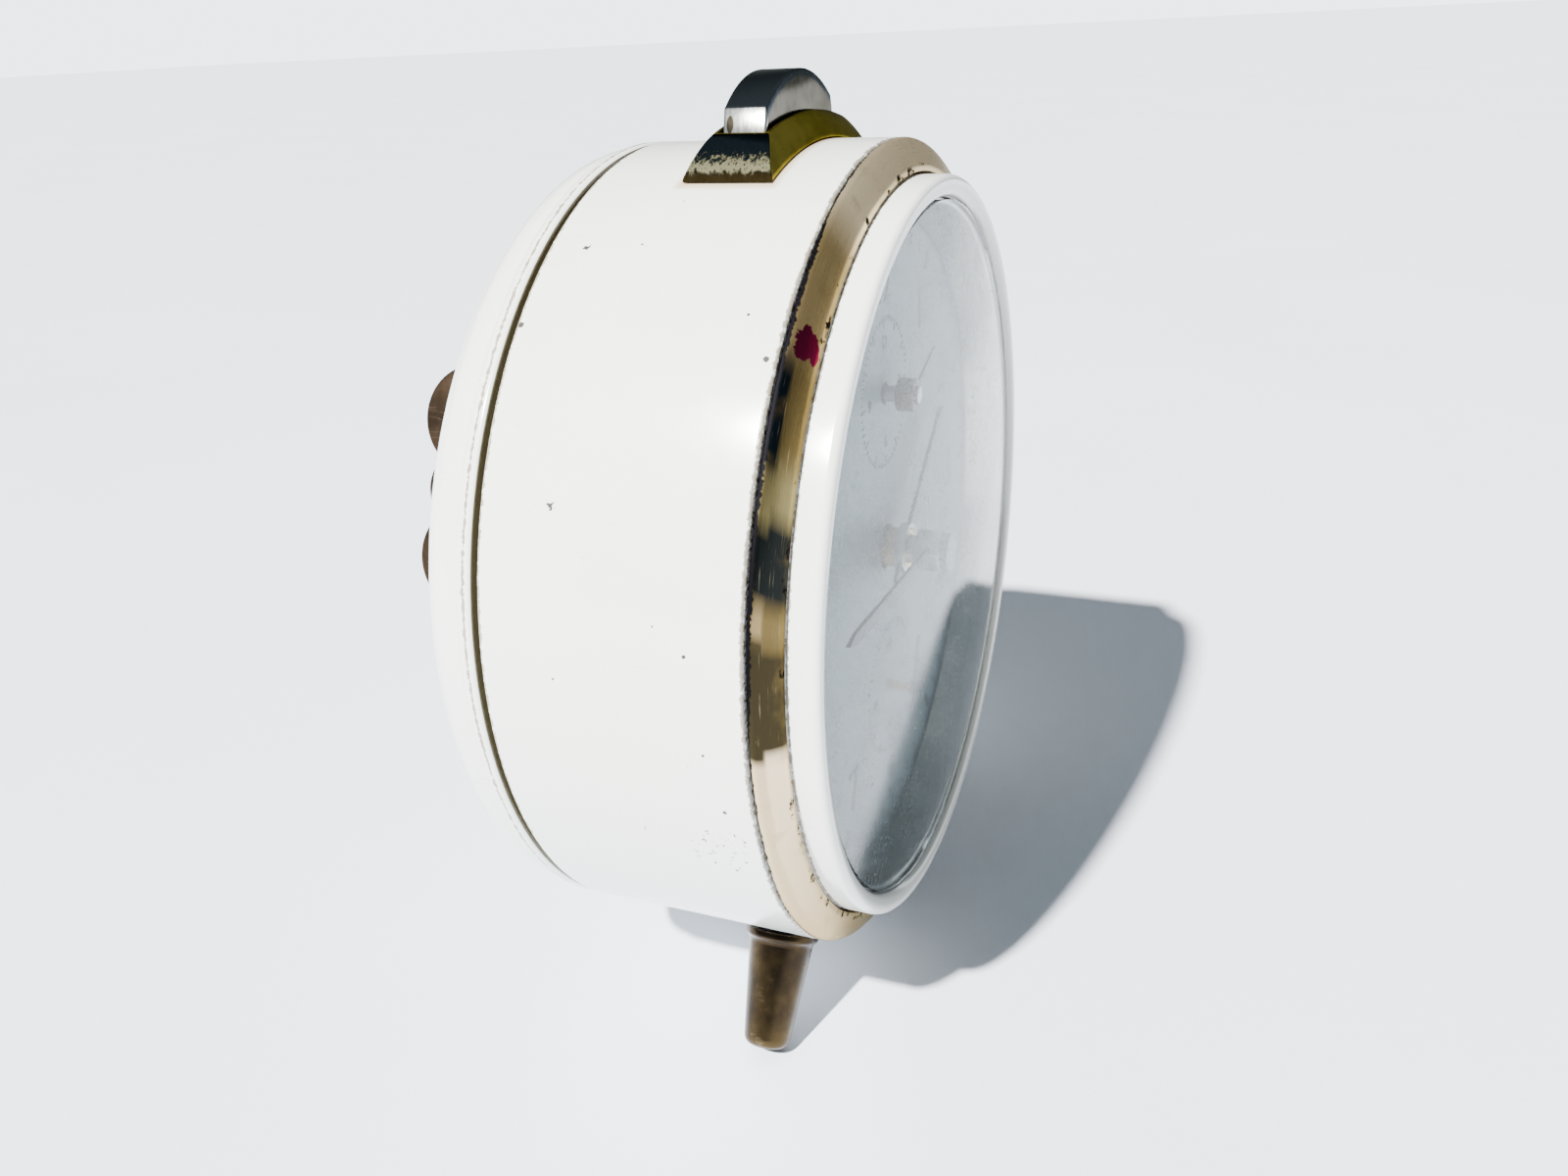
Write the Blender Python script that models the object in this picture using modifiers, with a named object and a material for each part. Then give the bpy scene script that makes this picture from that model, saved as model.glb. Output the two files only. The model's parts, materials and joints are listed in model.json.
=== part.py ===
"""Wind-up alarm clock: a round case on three feet, a half-disc alarm button and two-spring movement.

Each part is modelled in the dial frame: x to the right and y up as seen from the front, and z
forward, out of the dial. standing() turns that frame upright, so that the dial faces -Y and +Z is up.
The zero of the forward axis is the rear edge of the brass trim ring. Sizes below are millimetres.
"""
import math

import bmesh
import bpy
from mathutils import Matrix, Vector

MM = 0.001

# Case
CASE_R = 45.0
CASE_STEPS = 36
CASE_WALL = 0.8
CASE_REAR = -26.7
BEZEL_R = 41.3
CRYSTAL_R = 38.7
CRYSTAL_TOP = 7.2
COVER_BACK = -35.5
COVER_WALL = 0.7
DIAL_R = 38.8
DIAL_FRONT = -1.5
DIAL_T = 0.5
GAP = 0.3

# Feet and button
AXIS_HEIGHT = 50.3
FOOT_SPLAY = math.radians(32.2)
FOOT_FORWARD = -6.8
REAR_FOOT_FORWARD = -21.0
BUTTON_FORWARD = -12.0
BUTTON_T = 4.6
BUTTON_HALF = 10.3
BUTTON_TOP = 52.0
BUTTON_ARC = 15.7
BUTTON_TRAVEL = 2.0
BASE_TOP_R = 47.9
BASE_HALF_ANGLE = math.radians(19.5)
BASE_T = 9.4

# Movement: the plates and the arbors between them
PLATE_R = 33.5
PLATE_T = 1.0
FRONT_PLATE = -6.0
BACK_PLATE = -25.0
PIVOT_GAP = 0.07
SUBDIAL = 18.3
WINDING_X = 18.0
WINDING_Y = 9.73
THIRD_FROM_CENTRE = 13.6
THIRD_FROM_FOURTH = 12.24
ESCAPE_FROM_FOURTH = 11.34
ESCAPE_DIRECTION = math.radians(211.8)
BALANCE_AT = (-23.0, -16.0)
PALLET_FROM_ESCAPE = 6.9
PILLARS = ((-9.4, 29.0), (9.4, 29.0), (-18.2, -25.7), (18.2, -25.7))
KEY_REAR = -50.75

# Teeth
GREAT_TEETH, CENTRE_LEAVES = 48, 8
CENTRE_TEETH, THIRD_LEAVES = 45, 6
THIRD_TEETH, FOURTH_LEAVES = 48, 6
FOURTH_TEETH, ESCAPE_LEAVES = 48, 6
ESCAPE_TEETH = 15
CANNON_LEAVES, MINUTE_TEETH = 10, 30
MINUTE_LEAVES, HOUR_TEETH = 8, 32
ALARM_GREAT_TEETH, ALARM_LEAVES = 42, 7
ALARM_ESCAPE_TEETH = 18
RATCHET_TEETH = 14
MOTION_MODULE = SUBDIAL / HOUR_TEETH

# Time shown at rest: clock angles from twelve
MINUTE_AT = math.radians(-274.6)
HOUR_AT = math.radians(-53.0)
SECOND_AT = math.radians(-20.0)
ALARM_AT = math.radians(-68.0)
KEY_TURN = {"time": math.radians(-19.0), "alarm": math.radians(33.0)}

DEPTH_MIDDLE = (CRYSTAL_TOP + KEY_REAR) / 2
UPRIGHT = Matrix.Rotation(math.pi / 2, 4, "X")

for old in list(bpy.data.objects):
    bpy.data.objects.remove(old, do_unlink=True)

parts = bpy.data.collections.new("alarm_clock")
cutters = bpy.data.collections.new("cutters")
for group in (parts, cutters):
    bpy.context.scene.collection.children.link(group)


def material(name, color, roughness, metallic=0.0):
    made = bpy.data.materials.new(name)
    made.use_nodes = True
    shader = made.node_tree.nodes["Principled BSDF"]
    shader.inputs["Base Color"].default_value = (*color, 1.0)
    shader.inputs["Roughness"].default_value = roughness
    shader.inputs["Metallic"].default_value = metallic
    return made


ENAMEL = material("white_enamel", (0.86, 0.87, 0.83), 0.25)
BRASS = material("brass", (0.62, 0.47, 0.22), 0.3, 1.0)
AGED = material("aged_brass", (0.27, 0.20, 0.10), 0.4, 1.0)
NICKEL = material("nickel_plate", (0.72, 0.72, 0.70), 0.18, 1.0)
STEEL = material("steel", (0.55, 0.56, 0.58), 0.35, 1.0)
BLUED = material("blued_steel", (0.05, 0.07, 0.13), 0.3, 1.0)
GLASS = material("glass", (0.9, 0.95, 0.95), 0.05)
DIAL_PAINT = material("dial_paint", (0.78, 0.80, 0.78), 0.5)
BLACK = material("black_paint", (0.03, 0.03, 0.03), 0.4)
BROWN = material("brown_plastic", (0.17, 0.09, 0.05), 0.35)
CREAM = material("cream_paint", (0.80, 0.74, 0.58), 0.4)


def standing(at=(0.0, 0.0), forward=0.0, turn=0.0):
    """World matrix of a part whose origin is at (x, y) on the dial and at a forward place."""
    place = Vector((at[0], -forward + DEPTH_MIDDLE, at[1] + AXIS_HEIGHT)) * MM
    return Matrix.Translation(place) @ UPRIGHT @ Matrix.Rotation(turn, 4, "Z")


def as_part(obj, paint, where, hidden=False):
    obj.matrix_world = where
    for other in list(obj.users_collection):
        other.objects.unlink(obj)
    (cutters if hidden else parts).objects.link(obj)
    if hidden:
        obj.hide_render = True
        obj.display_type = "WIRE"
    obj.data.materials.clear()
    obj.data.materials.append(paint)
    if isinstance(obj.data, bpy.types.Mesh):
        obj.data.shade_smooth()
    return obj


def turned(name, profile, paint, at=(0.0, 0.0), steps=12, turn=0.0, where=None, hidden=False):
    """A solid turned about the forward axis from (radius, forward) points, given front to back
    along the outside. A profile that leaves the axis is closed into a ring."""
    mesh = bpy.data.meshes.new(name)
    points = [(r * MM, 0.0, z * MM) for r, z in profile]
    edges = [(i, i + 1) for i in range(len(points) - 1)]
    if profile[0][0] > 0 or profile[-1][0] > 0:
        edges.append((len(points) - 1, 0))
    mesh.from_pydata(points, edges, [])
    obj = bpy.data.objects.new(name, mesh)
    screw = obj.modifiers.new("turn", "SCREW")
    screw.steps = screw.render_steps = steps
    screw.use_merge_vertices = True
    screw.merge_threshold = 1e-6
    return as_part(obj, paint, where or standing(at, turn=turn), hidden)


def rod(name, radius, front, back, paint, at=(0.0, 0.0), steps=16, **more):
    return turned(name, [(0, front), (radius, front), (radius, back), (0, back)], paint, at, steps, **more)


def circle(radius, count=16, at=(0.0, 0.0), start=0.0):
    step = 2 * math.pi / count
    return [(at[0] + radius * math.cos(start + i * step), at[1] + radius * math.sin(start + i * step))
            for i in range(count)]


def arc(radius, start, end, count, at=(0.0, 0.0)):
    angles = [start + (end - start) * i / count for i in range(count + 1)]
    return [(at[0] + radius * math.cos(a), at[1] + radius * math.sin(a)) for a in angles]


def flat(name, loops, front, back, paint, at=(0.0, 0.0), turn=0.0, where=None, hidden=False):
    """A flat part cut from sheet: closed loops of (x, y) points, the inner ones being its holes."""
    curve = bpy.data.curves.new(name, "CURVE")
    curve.dimensions = "2D"
    curve.fill_mode = "BOTH"
    curve.extrude = (front - back) / 2 * MM
    for loop in loops:
        spline = curve.splines.new("POLY")
        spline.points.add(len(loop) - 1)
        for point, (x, y) in zip(spline.points, loop):
            point.co = (x * MM, y * MM, 0.0, 1.0)
        spline.use_cyclic_u = True
    sheet = bpy.data.objects.new(name + "_outline", curve)
    bpy.context.scene.collection.objects.link(sheet)
    middle = Matrix.Translation((0.0, 0.0, (front + back) / 2 * MM))
    where = where or standing(at, turn=turn)
    return as_part(meshed(sheet, name, middle), paint, where, hidden)


def meshed(source, name, moved=Matrix.Identity(4)):
    """The evaluated curve as a mesh object with its caps welded, and the curve removed."""
    bpy.context.view_layer.update()
    evaluated = source.evaluated_get(bpy.context.evaluated_depsgraph_get())
    mesh = bpy.data.meshes.new_from_object(evaluated)
    mesh.name = name
    shape = bmesh.new()
    shape.from_mesh(mesh)
    bmesh.ops.remove_doubles(shape, verts=shape.verts, dist=1e-6)
    bmesh.ops.transform(shape, matrix=moved, verts=shape.verts)
    shape.to_mesh(mesh)
    shape.free()
    bpy.data.objects.remove(source, do_unlink=True)
    return bpy.data.objects.new(name, mesh)


def wire(name, points, radius, paint, where):
    """A wire along (x, y, z) points in the frame of where."""
    curve = bpy.data.curves.new(name, "CURVE")
    curve.dimensions = "3D"
    curve.bevel_depth = radius * MM
    curve.bevel_resolution = 0
    curve.use_fill_caps = True
    spline = curve.splines.new("POLY")
    spline.points.add(len(points) - 1)
    for point, place in zip(spline.points, points):
        point.co = (*(Vector(place) * MM), 1.0)
    path = bpy.data.objects.new(name + "_path", curve)
    bpy.context.scene.collection.objects.link(path)
    return as_part(meshed(path, name), paint, where)


def combine(target, operation, *others):
    """Boolean of the target with each of the others, which become hidden tools."""
    for other in others:
        if other.name in parts.objects:
            parts.objects.unlink(other)
            cutters.objects.link(other)
            other.hide_render = True
            other.display_type = "WIRE"
        step = target.modifiers.new(operation.lower(), "BOOLEAN")
        step.operation = operation
        step.solver = "EXACT"
        step.object = other
    return target


def box(name, low, high, where):
    bpy.ops.mesh.primitive_cube_add(size=1.0)
    obj = bpy.context.object
    obj.name = name
    low, high = Vector(low) * MM, Vector(high) * MM
    size = Matrix.Diagonal((*(high - low), 1.0))
    obj.data.transform(Matrix.Translation((low + high) / 2) @ size)
    return as_part(obj, STEEL, where, hidden=True)


def radial(angle, forward):
    """Frame whose +Z points outward from the case axis at a dial angle, its origin on that axis."""
    outward = Matrix.Rotation(math.pi / 2, 4, "Y")
    return standing(forward=forward) @ Matrix.Rotation(angle, 4, "Z") @ outward


# --- gears ---------------------------------------------------------------------------------

def teeth_loop(count, module, phase, leaves=False):
    """Outline of a wheel (pointed gaps) or of a pinion (flat-bottomed gaps between leaves)."""
    pitch_r = module * count / 2
    pitch = 2 * math.pi / count
    tip, root = (0.72, 1.15) if leaves else (0.75, 1.6)
    loop = []
    for i in range(count):
        middle = phase + i * pitch
        corners = [(-0.06, pitch_r + tip * module), (0.06, pitch_r + tip * module)]
        if leaves:
            corners = [(-0.19, pitch_r - root * module), *corners, (0.19, pitch_r - root * module)]
        else:
            corners.append((0.5, pitch_r - root * module))
        loop += [(r * math.cos(middle + s * pitch), r * math.sin(middle + s * pitch)) for s, r in corners]
    return loop


def crossings(inner, outer, arms=4, arm=0.16):
    """The openings between a wheel's arms."""
    loops = []
    for i in range(arms):
        start = i * 2 * math.pi / arms
        end = start + 2 * math.pi / arms
        slim = arm * outer / inner / 2.4
        out_side = arc(outer, start + arm / 2, end - arm / 2, 3)
        in_side = arc(inner, end - slim, start + slim, 2)
        loops.append(out_side + in_side)
    return loops


def wheel(name, count, module, front, thick, bore, at, phase, arms=True):
    rim = module * (count / 2 - 1.6) - 1.1
    loops = [teeth_loop(count, module, phase), circle(bore, 12)]
    if arms:
        loops += crossings(max(bore + 1.6, 2.6), rim)
    return flat(name, loops, front, front - thick, BRASS, at)


def pinion(name, count, module, front, thick, at, phase):
    return flat(name, [teeth_loop(count, module, phase, True)], front, front - thick, STEEL, at)


def mate(phase, count, other, direction):
    """Phase of a gear of other teeth that meshes, in that direction, with one of count teeth."""
    pitch = 2 * math.pi / count
    past = (direction - phase) % pitch
    return direction + math.pi + past * count / other + math.pi / other


def towards(a, b):
    return math.atan2(b[1] - a[1], b[0] - a[0])


def on_circles(a, ra, b, rb):
    """The point ra from a and rb from b, on the right of the way from a to b."""
    gap = math.dist(a, b)
    along = (gap * gap + ra * ra - rb * rb) / (2 * gap)
    out = math.sqrt(ra * ra - along * along)
    ux, uy = (b[0] - a[0]) / gap, (b[1] - a[1]) / gap
    return a[0] + ux * along - uy * out, a[1] + uy * along + ux * out


CENTRE = (0.0, 0.0)
FOURTH = (0.0, -SUBDIAL)
ALARM = (0.0, SUBDIAL)
TIME_WINDING = (-WINDING_X, WINDING_Y)
ALARM_WINDING = (WINDING_X, WINDING_Y)
THIRD = on_circles(CENTRE, THIRD_FROM_CENTRE, FOURTH, THIRD_FROM_FOURTH)
ESCAPE = (FOURTH[0] + ESCAPE_FROM_FOURTH * math.cos(ESCAPE_DIRECTION),
          FOURTH[1] + ESCAPE_FROM_FOURTH * math.sin(ESCAPE_DIRECTION))
MINUTE_DISTANCE = MOTION_MODULE * (CANNON_LEAVES + MINUTE_TEETH) / 2
MINUTE = (MINUTE_DISTANCE * math.cos(math.radians(-40)), MINUTE_DISTANCE * math.sin(math.radians(-40)))
PALLET_DIRECTION = towards(ESCAPE, BALANCE_AT)
PALLET = (ESCAPE[0] + PALLET_FROM_ESCAPE * math.cos(PALLET_DIRECTION),
          ESCAPE[1] + PALLET_FROM_ESCAPE * math.sin(PALLET_DIRECTION))
GREAT_MODULE = 2 * math.dist(CENTRE, TIME_WINDING) / (GREAT_TEETH + CENTRE_LEAVES)
ALARM_MODULE = 0.76
ALARM_ESCAPE = (22.0, WINDING_Y - math.sqrt((ALARM_MODULE * (ALARM_GREAT_TEETH + ALARM_LEAVES) / 2) ** 2 - 16.0))
HAMMER = (24.0, ALARM_ESCAPE[1] - 8.8)
STOP_LEVER = (8.0, 25.4)


# --- case ------------------------------------------------------------------------------------

def case():
    inner = CASE_R - CASE_WALL
    band = turned("case_band", [
        (42.0, -GAP), (CASE_R, -GAP), (CASE_R, CASE_REAR), (inner, CASE_REAR), (inner, -1.1), (42.0, -1.1),
    ], ENAMEL, steps=CASE_STEPS)
    holes = [rod("stem_hole", 2.1, 50, 40, STEEL, where=radial(math.pi / 2, BUTTON_FORWARD), hidden=True)]
    for side, angle in feet_angles().items():
        forward = REAR_FOOT_FORWARD if side == "rear" else FOOT_FORWARD
        holes.append(rod(side + "_hole", 1.7, 50, 40, STEEL, where=radial(angle, forward), hidden=True))
    combine(band, "DIFFERENCE", *holes)
    turned("trim_ring", [
        (41.6, 2.2), (42.3, 2.0), (43.7, 1.35), (44.7, 0.55), (CASE_R, 0.0), (41.6, 0.0),
    ], BRASS, steps=CASE_STEPS)
    turned("front_bezel", [
        (39.0, 4.75), (39.5, 5.2), (40.3, 5.35), (41.0, 5.0), (BEZEL_R, 4.3), (BEZEL_R, -1.0),
        (40.5, -1.0), (40.5, 3.4), (39.0, 3.7),
    ], ENAMEL, steps=CASE_STEPS)
    dome = [(CRYSTAL_R * t, 4.7 + (CRYSTAL_TOP - 4.7) * (1 - t * t)) for t in (0, 0.4, 0.75, 1.0)]
    under = [(r, z - 1.0) for r, z in reversed(dome)]
    turned("crystal", dome + under, GLASS, steps=32)
    turned("dial_ring", [
        (38.2, 3.35), (40.2, 3.35), (40.2, 2.9), (38.7, 2.85), (37.6, -1.2), (37.0, -1.2),
    ], NICKEL, steps=32)


def dial():
    holes = [circle(2.7, 16), circle(1.3, 12, ALARM), circle(0.8, 8, FOURTH)]
    face = flat("dial", [circle(DIAL_R, 40), *holes], DIAL_FRONT, DIAL_FRONT - DIAL_T, DIAL_PAINT)
    feet = [rod("dial_foot", 0.8, DIAL_FRONT - DIAL_T / 2, FRONT_PLATE + GAP, BRASS, (x, 5.0), 8)
            for x in (-30.0, 30.0)]
    combine(face, "UNION", *feet)


def back_cover():
    outside = [(43.9, -24.6), (43.9, -27.3), (45.0, -27.6), (45.0, -29.7), (44.3, -31.8), (42.9, -33.6),
               (40.6, -34.9), (37.5, COVER_BACK), (0, COVER_BACK - 0.3)]
    inside = [(0, COVER_BACK + COVER_WALL - 0.3), (37.4, COVER_BACK + COVER_WALL), (40.1, -34.2), (42.3, -33.1),
              (43.2, -31.4), (43.2, -24.6)]
    cover = turned("back_cover", outside + inside, ENAMEL, steps=CASE_STEPS)
    back, front = -45.0, -30.0
    cuts = [rod("winding_hole", 2.6, front, back, STEEL, at, 16, hidden=True) for at in (TIME_WINDING, ALARM_WINDING)]
    cuts += [rod("setting_hole", 1.9, front, back, STEEL, at, 12, hidden=True) for at in (CENTRE, ALARM)]
    cuts += [rod("screw_hole", 1.3, front, back, STEEL, at, 8, hidden=True) for at in PILLARS]
    slot = arc(9.4, -0.5, 0.5, 5) + arc(6.6, 0.5, -0.5, 5)
    cuts.append(flat("regulator_slot", [slot], front, back, STEEL, BALANCE_AT, hidden=True))
    combine(cover, "DIFFERENCE", *cuts)


def feet_angles():
    down = -math.pi / 2
    return {"left": down - FOOT_SPLAY, "right": down + FOOT_SPLAY, "rear": down}


def feet():
    tip = (AXIS_HEIGHT + 0.15) / math.cos(FOOT_SPLAY) - 1.2
    splayed = [(0, tip), (1.4, tip), (2.2, tip - 0.3), (2.6, tip - 1.2), (3.7, 46.2), (4.2, 46.0), (4.2, 45.4),
               (1.5, 45.4), (1.5, 41.0), (0, 41.0)]
    short = [(0, 51.0), (2.4, 51.0), (3.0, 46.2), (3.6, 46.0), (3.6, 45.4), (1.5, 45.4), (1.5, 41.0), (0, 41.0)]
    names = {"left": "front_foot_left", "right": "front_foot_right", "rear": "rear_foot"}
    for side, angle in feet_angles().items():
        rear = side == "rear"
        where = radial(angle, REAR_FOOT_FORWARD if rear else FOOT_FORWARD)
        foot = turned(names[side], short if rear else splayed, AGED, steps=14, where=where)
        floor = box(names[side] + "_floor", (-60, -60, -90), (60, 60, -AXIS_HEIGHT), Matrix.Translation(
            Vector((0, DEPTH_MIDDLE, AXIS_HEIGHT)) * MM))
        combine(foot, "DIFFERENCE", floor)
        turned("foot_nut_" + side, [(1.85, 43.7), (3.2, 43.4), (3.2, 41.8), (1.85, 41.8)], STEEL, steps=6, where=where)


# --- alarm button ------------------------------------------------------------------------------

def button():
    outer = arc(BASE_TOP_R, math.pi / 2 + BASE_HALF_ANGLE * 0.9, math.pi / 2 - BASE_HALF_ANGLE * 0.9, 14)
    inner = arc(CASE_R + GAP, math.pi / 2 - BASE_HALF_ANGLE, math.pi / 2 + BASE_HALF_ANGLE, 14)
    half = BASE_T / 2
    base = flat("button_base", [outer + inner], BUTTON_FORWARD + half, BUTTON_FORWARD - half, AGED)
    bevel = base.modifiers.new("edge", "BEVEL")
    bevel.width = 0.6 * MM
    bevel.segments = 1
    bevel.angle_limit = math.radians(50)
    side = BUTTON_HALF + 0.35
    front = BUTTON_T / 2 + 0.35
    combine(base, "DIFFERENCE", box("button_slot", (-side, -front, 40), (side, front, 60), standing(
        forward=BUTTON_FORWARD) @ UPRIGHT.inverted()))
    centre = (0.0, BUTTON_TOP - BUTTON_ARC)
    spread = math.asin(BUTTON_HALF / BUTTON_ARC) * 0.97
    top = arc(BUTTON_ARC, math.pi / 2 + spread, math.pi / 2 - spread, 16, centre)
    under = math.asin(BUTTON_HALF / 47.4)
    bottom = arc(47.4, math.pi / 2 - under, math.pi / 2 + under, 8)
    head = flat("alarm_button", [top + bottom], BUTTON_FORWARD + BUTTON_T / 2, BUTTON_FORWARD - BUTTON_T / 2, NICKEL)
    edge = head.modifiers.new("edge", "BEVEL")
    edge.width = 0.35 * MM
    edge.segments = 2
    edge.angle_limit = math.radians(50)
    up = radial(math.pi / 2, BUTTON_FORWARD)
    turned("button_stem", [(0, 47.0), (1.4, 47.0), (1.4, 43.8), (3.4, 43.8), (3.4, 43.0), (1.4, 43.0),
                           (1.4, STOP_LEVER[1] + 2.0), (0, STOP_LEVER[1] + 2.0)], STEEL, steps=16, where=up)
    low, high, coils, per = 33.1, 42.4, 6, 10
    turns = [(2.3 * math.cos(2 * math.pi * i / per), 2.3 * math.sin(2 * math.pi * i / per),
              low + (high - low) * i / (coils * per)) for i in range(coils * per + 1)]
    wire("button_spring", turns, 0.25, STEEL, up)
    bracket = flat("stem_guide", [[(-4.5, 31.8), (4.5, 31.8), (4.5, 32.6), (-4.5, 32.6)]], BUTTON_FORWARD + 4.7,
                   BUTTON_FORWARD - 3.0, STEEL)
    combine(bracket, "DIFFERENCE", rod("guide_hole", 1.5, 40, 20, STEEL, where=up, hidden=True))


# --- movement: frame -----------------------------------------------------------------------------

def arbor_radii():
    """Radius of each arbor where it passes through the two plates."""
    return {CENTRE: 1.0, THIRD: 0.5, FOURTH: 0.5, ESCAPE: 0.5, PALLET: 0.5, BALANCE_AT: 0.5, ALARM: 0.9,
            ALARM_ESCAPE: 0.5, HAMMER: 0.6, TIME_WINDING: 1.5, ALARM_WINDING: 1.5}


def plates():
    holes = [circle(r + PIVOT_GAP, 10, at) for at, r in arbor_radii().items()]
    dial_feet = [circle(1.1, 8, (x, 5.0)) for x in (-30.0, 30.0)]
    flat("front_plate", [circle(PLATE_R, 36), *holes], FRONT_PLATE, FRONT_PLATE - PLATE_T, BRASS)
    screws = [circle(1.2, 8, at) for at in PILLARS]
    flat("back_plate", [circle(PLATE_R, 36), *holes, *screws], BACK_PLATE, BACK_PLATE - PLATE_T, BRASS)
    for number, at in enumerate(PILLARS, 1):
        back = BACK_PLATE + GAP
        turned(f"pillar_{number}", [(0, FRONT_PLATE - PLATE_T - GAP), (1.6, FRONT_PLATE - PLATE_T - GAP),
                                    (1.6, back), (1.15, back), (1.15, back + 3), (0, back + 3)], STEEL, at, 12)
        turned(f"cover_screw_{number}", [(0, back + 1.5), (1.0, back + 1.5), (1.0, COVER_BACK - 0.6),
                                         (2.4, COVER_BACK - 0.6), (2.4, COVER_BACK - 1.5), (0, COVER_BACK - 1.9)],
               NICKEL, at, 12)


# --- movement: the two spring barrels --------------------------------------------------------------

def winding(which, at, teeth, module, phase):
    great_front = -22.6
    wheel(f"{which}_great_wheel", teeth, module, great_front, 1.0, 2.1, at, phase)
    turned(f"{which}_winding_arbor", [
        (0, FRONT_PLATE - 0.1), (1.5, FRONT_PLATE - 0.1), (1.5, -7.4), (2.0, -7.4), (2.0, -24.7), (1.5, -24.7),
        (1.5, -46.0), (0, -46.0)], STEEL, at, 16)
    saw = []
    for i in range(RATCHET_TEETH):
        a = 2 * math.pi * i / RATCHET_TEETH
        saw += [(4.6 * math.cos(a), 4.6 * math.sin(a)), (3.9 * math.cos(a + 0.06), 3.9 * math.sin(a + 0.06))]
    flat(f"{which}_ratchet", [saw, circle(2.06, 16)], -24.0, -24.6, STEEL, at)
    inner, outer, coils, per = 3.2, 13.2, 5, 12
    ribbon = [(inner + (outer - inner) * i / (coils * per), 2 * math.pi * i / per) for i in range(coils * per + 1)]
    out_edge = [((r + 0.25) * math.cos(a), (r + 0.25) * math.sin(a)) for r, a in ribbon]
    in_edge = [((r - 0.25) * math.cos(a), (r - 0.25) * math.sin(a)) for r, a in reversed(ribbon)]
    flat(f"{which}_mainspring", [out_edge + in_edge], -13.5, -22.2, BLUED, at)
    winding_key(which, at)


def winding_key(which, at):
    lobe_at, lobe_r, lobe_back = 7.85, 6.0, KEY_REAR + 6.0
    half = arc(lobe_r, math.radians(125), math.radians(-140), 10, (lobe_at, lobe_back))
    outline = [(0.0, -38.9), *half, (0.0, -47.2), *[(-x, y) for x, y in reversed(half)]]
    side_on = standing(at, turn=KEY_TURN[which]) @ Matrix(((0, 0, 1, 0), (1, 0, 0, 0), (0, 1, 0, 0), (0, 0, 0, 1)))
    plate = flat(f"{which}_key_wings", [outline], 0.8, -0.8, AGED, where=side_on)
    key = turned(f"{which}_winding_key", [
        (1.56, -37.0), (3.4, -37.0), (3.5, -37.4), (3.5, -47.2), (2.4, -48.2), (0, -48.4), (0, -46.3), (1.56, -46.3),
    ], AGED, at, 16)
    plate_bore = rod(f"{which}_key_bore", 1.56, -30, -46.3, STEEL, at, 16, hidden=True)
    combine(key, "UNION", plate)
    combine(key, "DIFFERENCE", plate_bore)


# --- movement: the trains ----------------------------------------------------------------------------

def arbor(name, radius, at, front=FRONT_PLATE - 0.1, back=BACK_PLATE - PLATE_T + 0.1, steps=12):
    return rod(name, radius, front, back, STEEL, at, steps)


def going_train():
    great_phase = 0.0
    centre_phase = mate(great_phase, GREAT_TEETH, CENTRE_LEAVES, towards(TIME_WINDING, CENTRE))
    winding("time", TIME_WINDING, GREAT_TEETH, GREAT_MODULE, great_phase)
    module = 2 * THIRD_FROM_CENTRE / (CENTRE_TEETH + THIRD_LEAVES)
    centre = wheel("centre_wheel", CENTRE_TEETH, module, -11.0, 0.8, 0.9, CENTRE, 0.0)
    combine(centre, "UNION", pinion("centre_pinion", CENTRE_LEAVES, GREAT_MODULE, -21.8, 2.6, CENTRE, centre_phase),
            arbor("centre_arbor", 1.0, CENTRE, 2.0, -43.0, 16))
    phase = mate(0.0, CENTRE_TEETH, THIRD_LEAVES, towards(CENTRE, THIRD))
    third = pinion("third_pinion", THIRD_LEAVES, module, -10.3, 2.2, THIRD, phase)
    module = 2 * THIRD_FROM_FOURTH / (THIRD_TEETH + FOURTH_LEAVES)
    third_wheel = wheel("third_wheel", THIRD_TEETH, module, -8.6, 0.8, 0.4, THIRD, 0.0)
    combine(third_wheel, "UNION", third, arbor("third_arbor", 0.5, THIRD))
    phase = mate(0.0, THIRD_TEETH, FOURTH_LEAVES, towards(THIRD, FOURTH))
    fourth = pinion("fourth_pinion", FOURTH_LEAVES, module, -8.0, 2.2, FOURTH, phase)
    module = 2 * ESCAPE_FROM_FOURTH / (FOURTH_TEETH + ESCAPE_LEAVES)
    fourth_wheel = wheel("fourth_wheel", FOURTH_TEETH, module, -16.2, 0.8, 0.4, FOURTH, 0.0)
    combine(fourth_wheel, "UNION", fourth, arbor("fourth_arbor", 0.5, FOURTH, front=1.0))
    phase = mate(0.0, FOURTH_TEETH, ESCAPE_LEAVES, towards(FOURTH, ESCAPE))
    escape_pinion = pinion("escape_pinion", ESCAPE_LEAVES, module, -15.6, 2.2, ESCAPE, phase)
    loop = []
    for i in range(ESCAPE_TEETH):
        a = 2 * math.pi * i / ESCAPE_TEETH
        loop += [(4.5 * math.cos(a), 4.5 * math.sin(a)), (3.3 * math.cos(a + 0.16), 3.3 * math.sin(a + 0.16))]
    escape = flat("escape_wheel", [loop, circle(0.4, 12)], -19.7, -20.4, BRASS, ESCAPE)
    combine(escape, "UNION", escape_pinion, arbor("escape_arbor", 0.5, ESCAPE))


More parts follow.
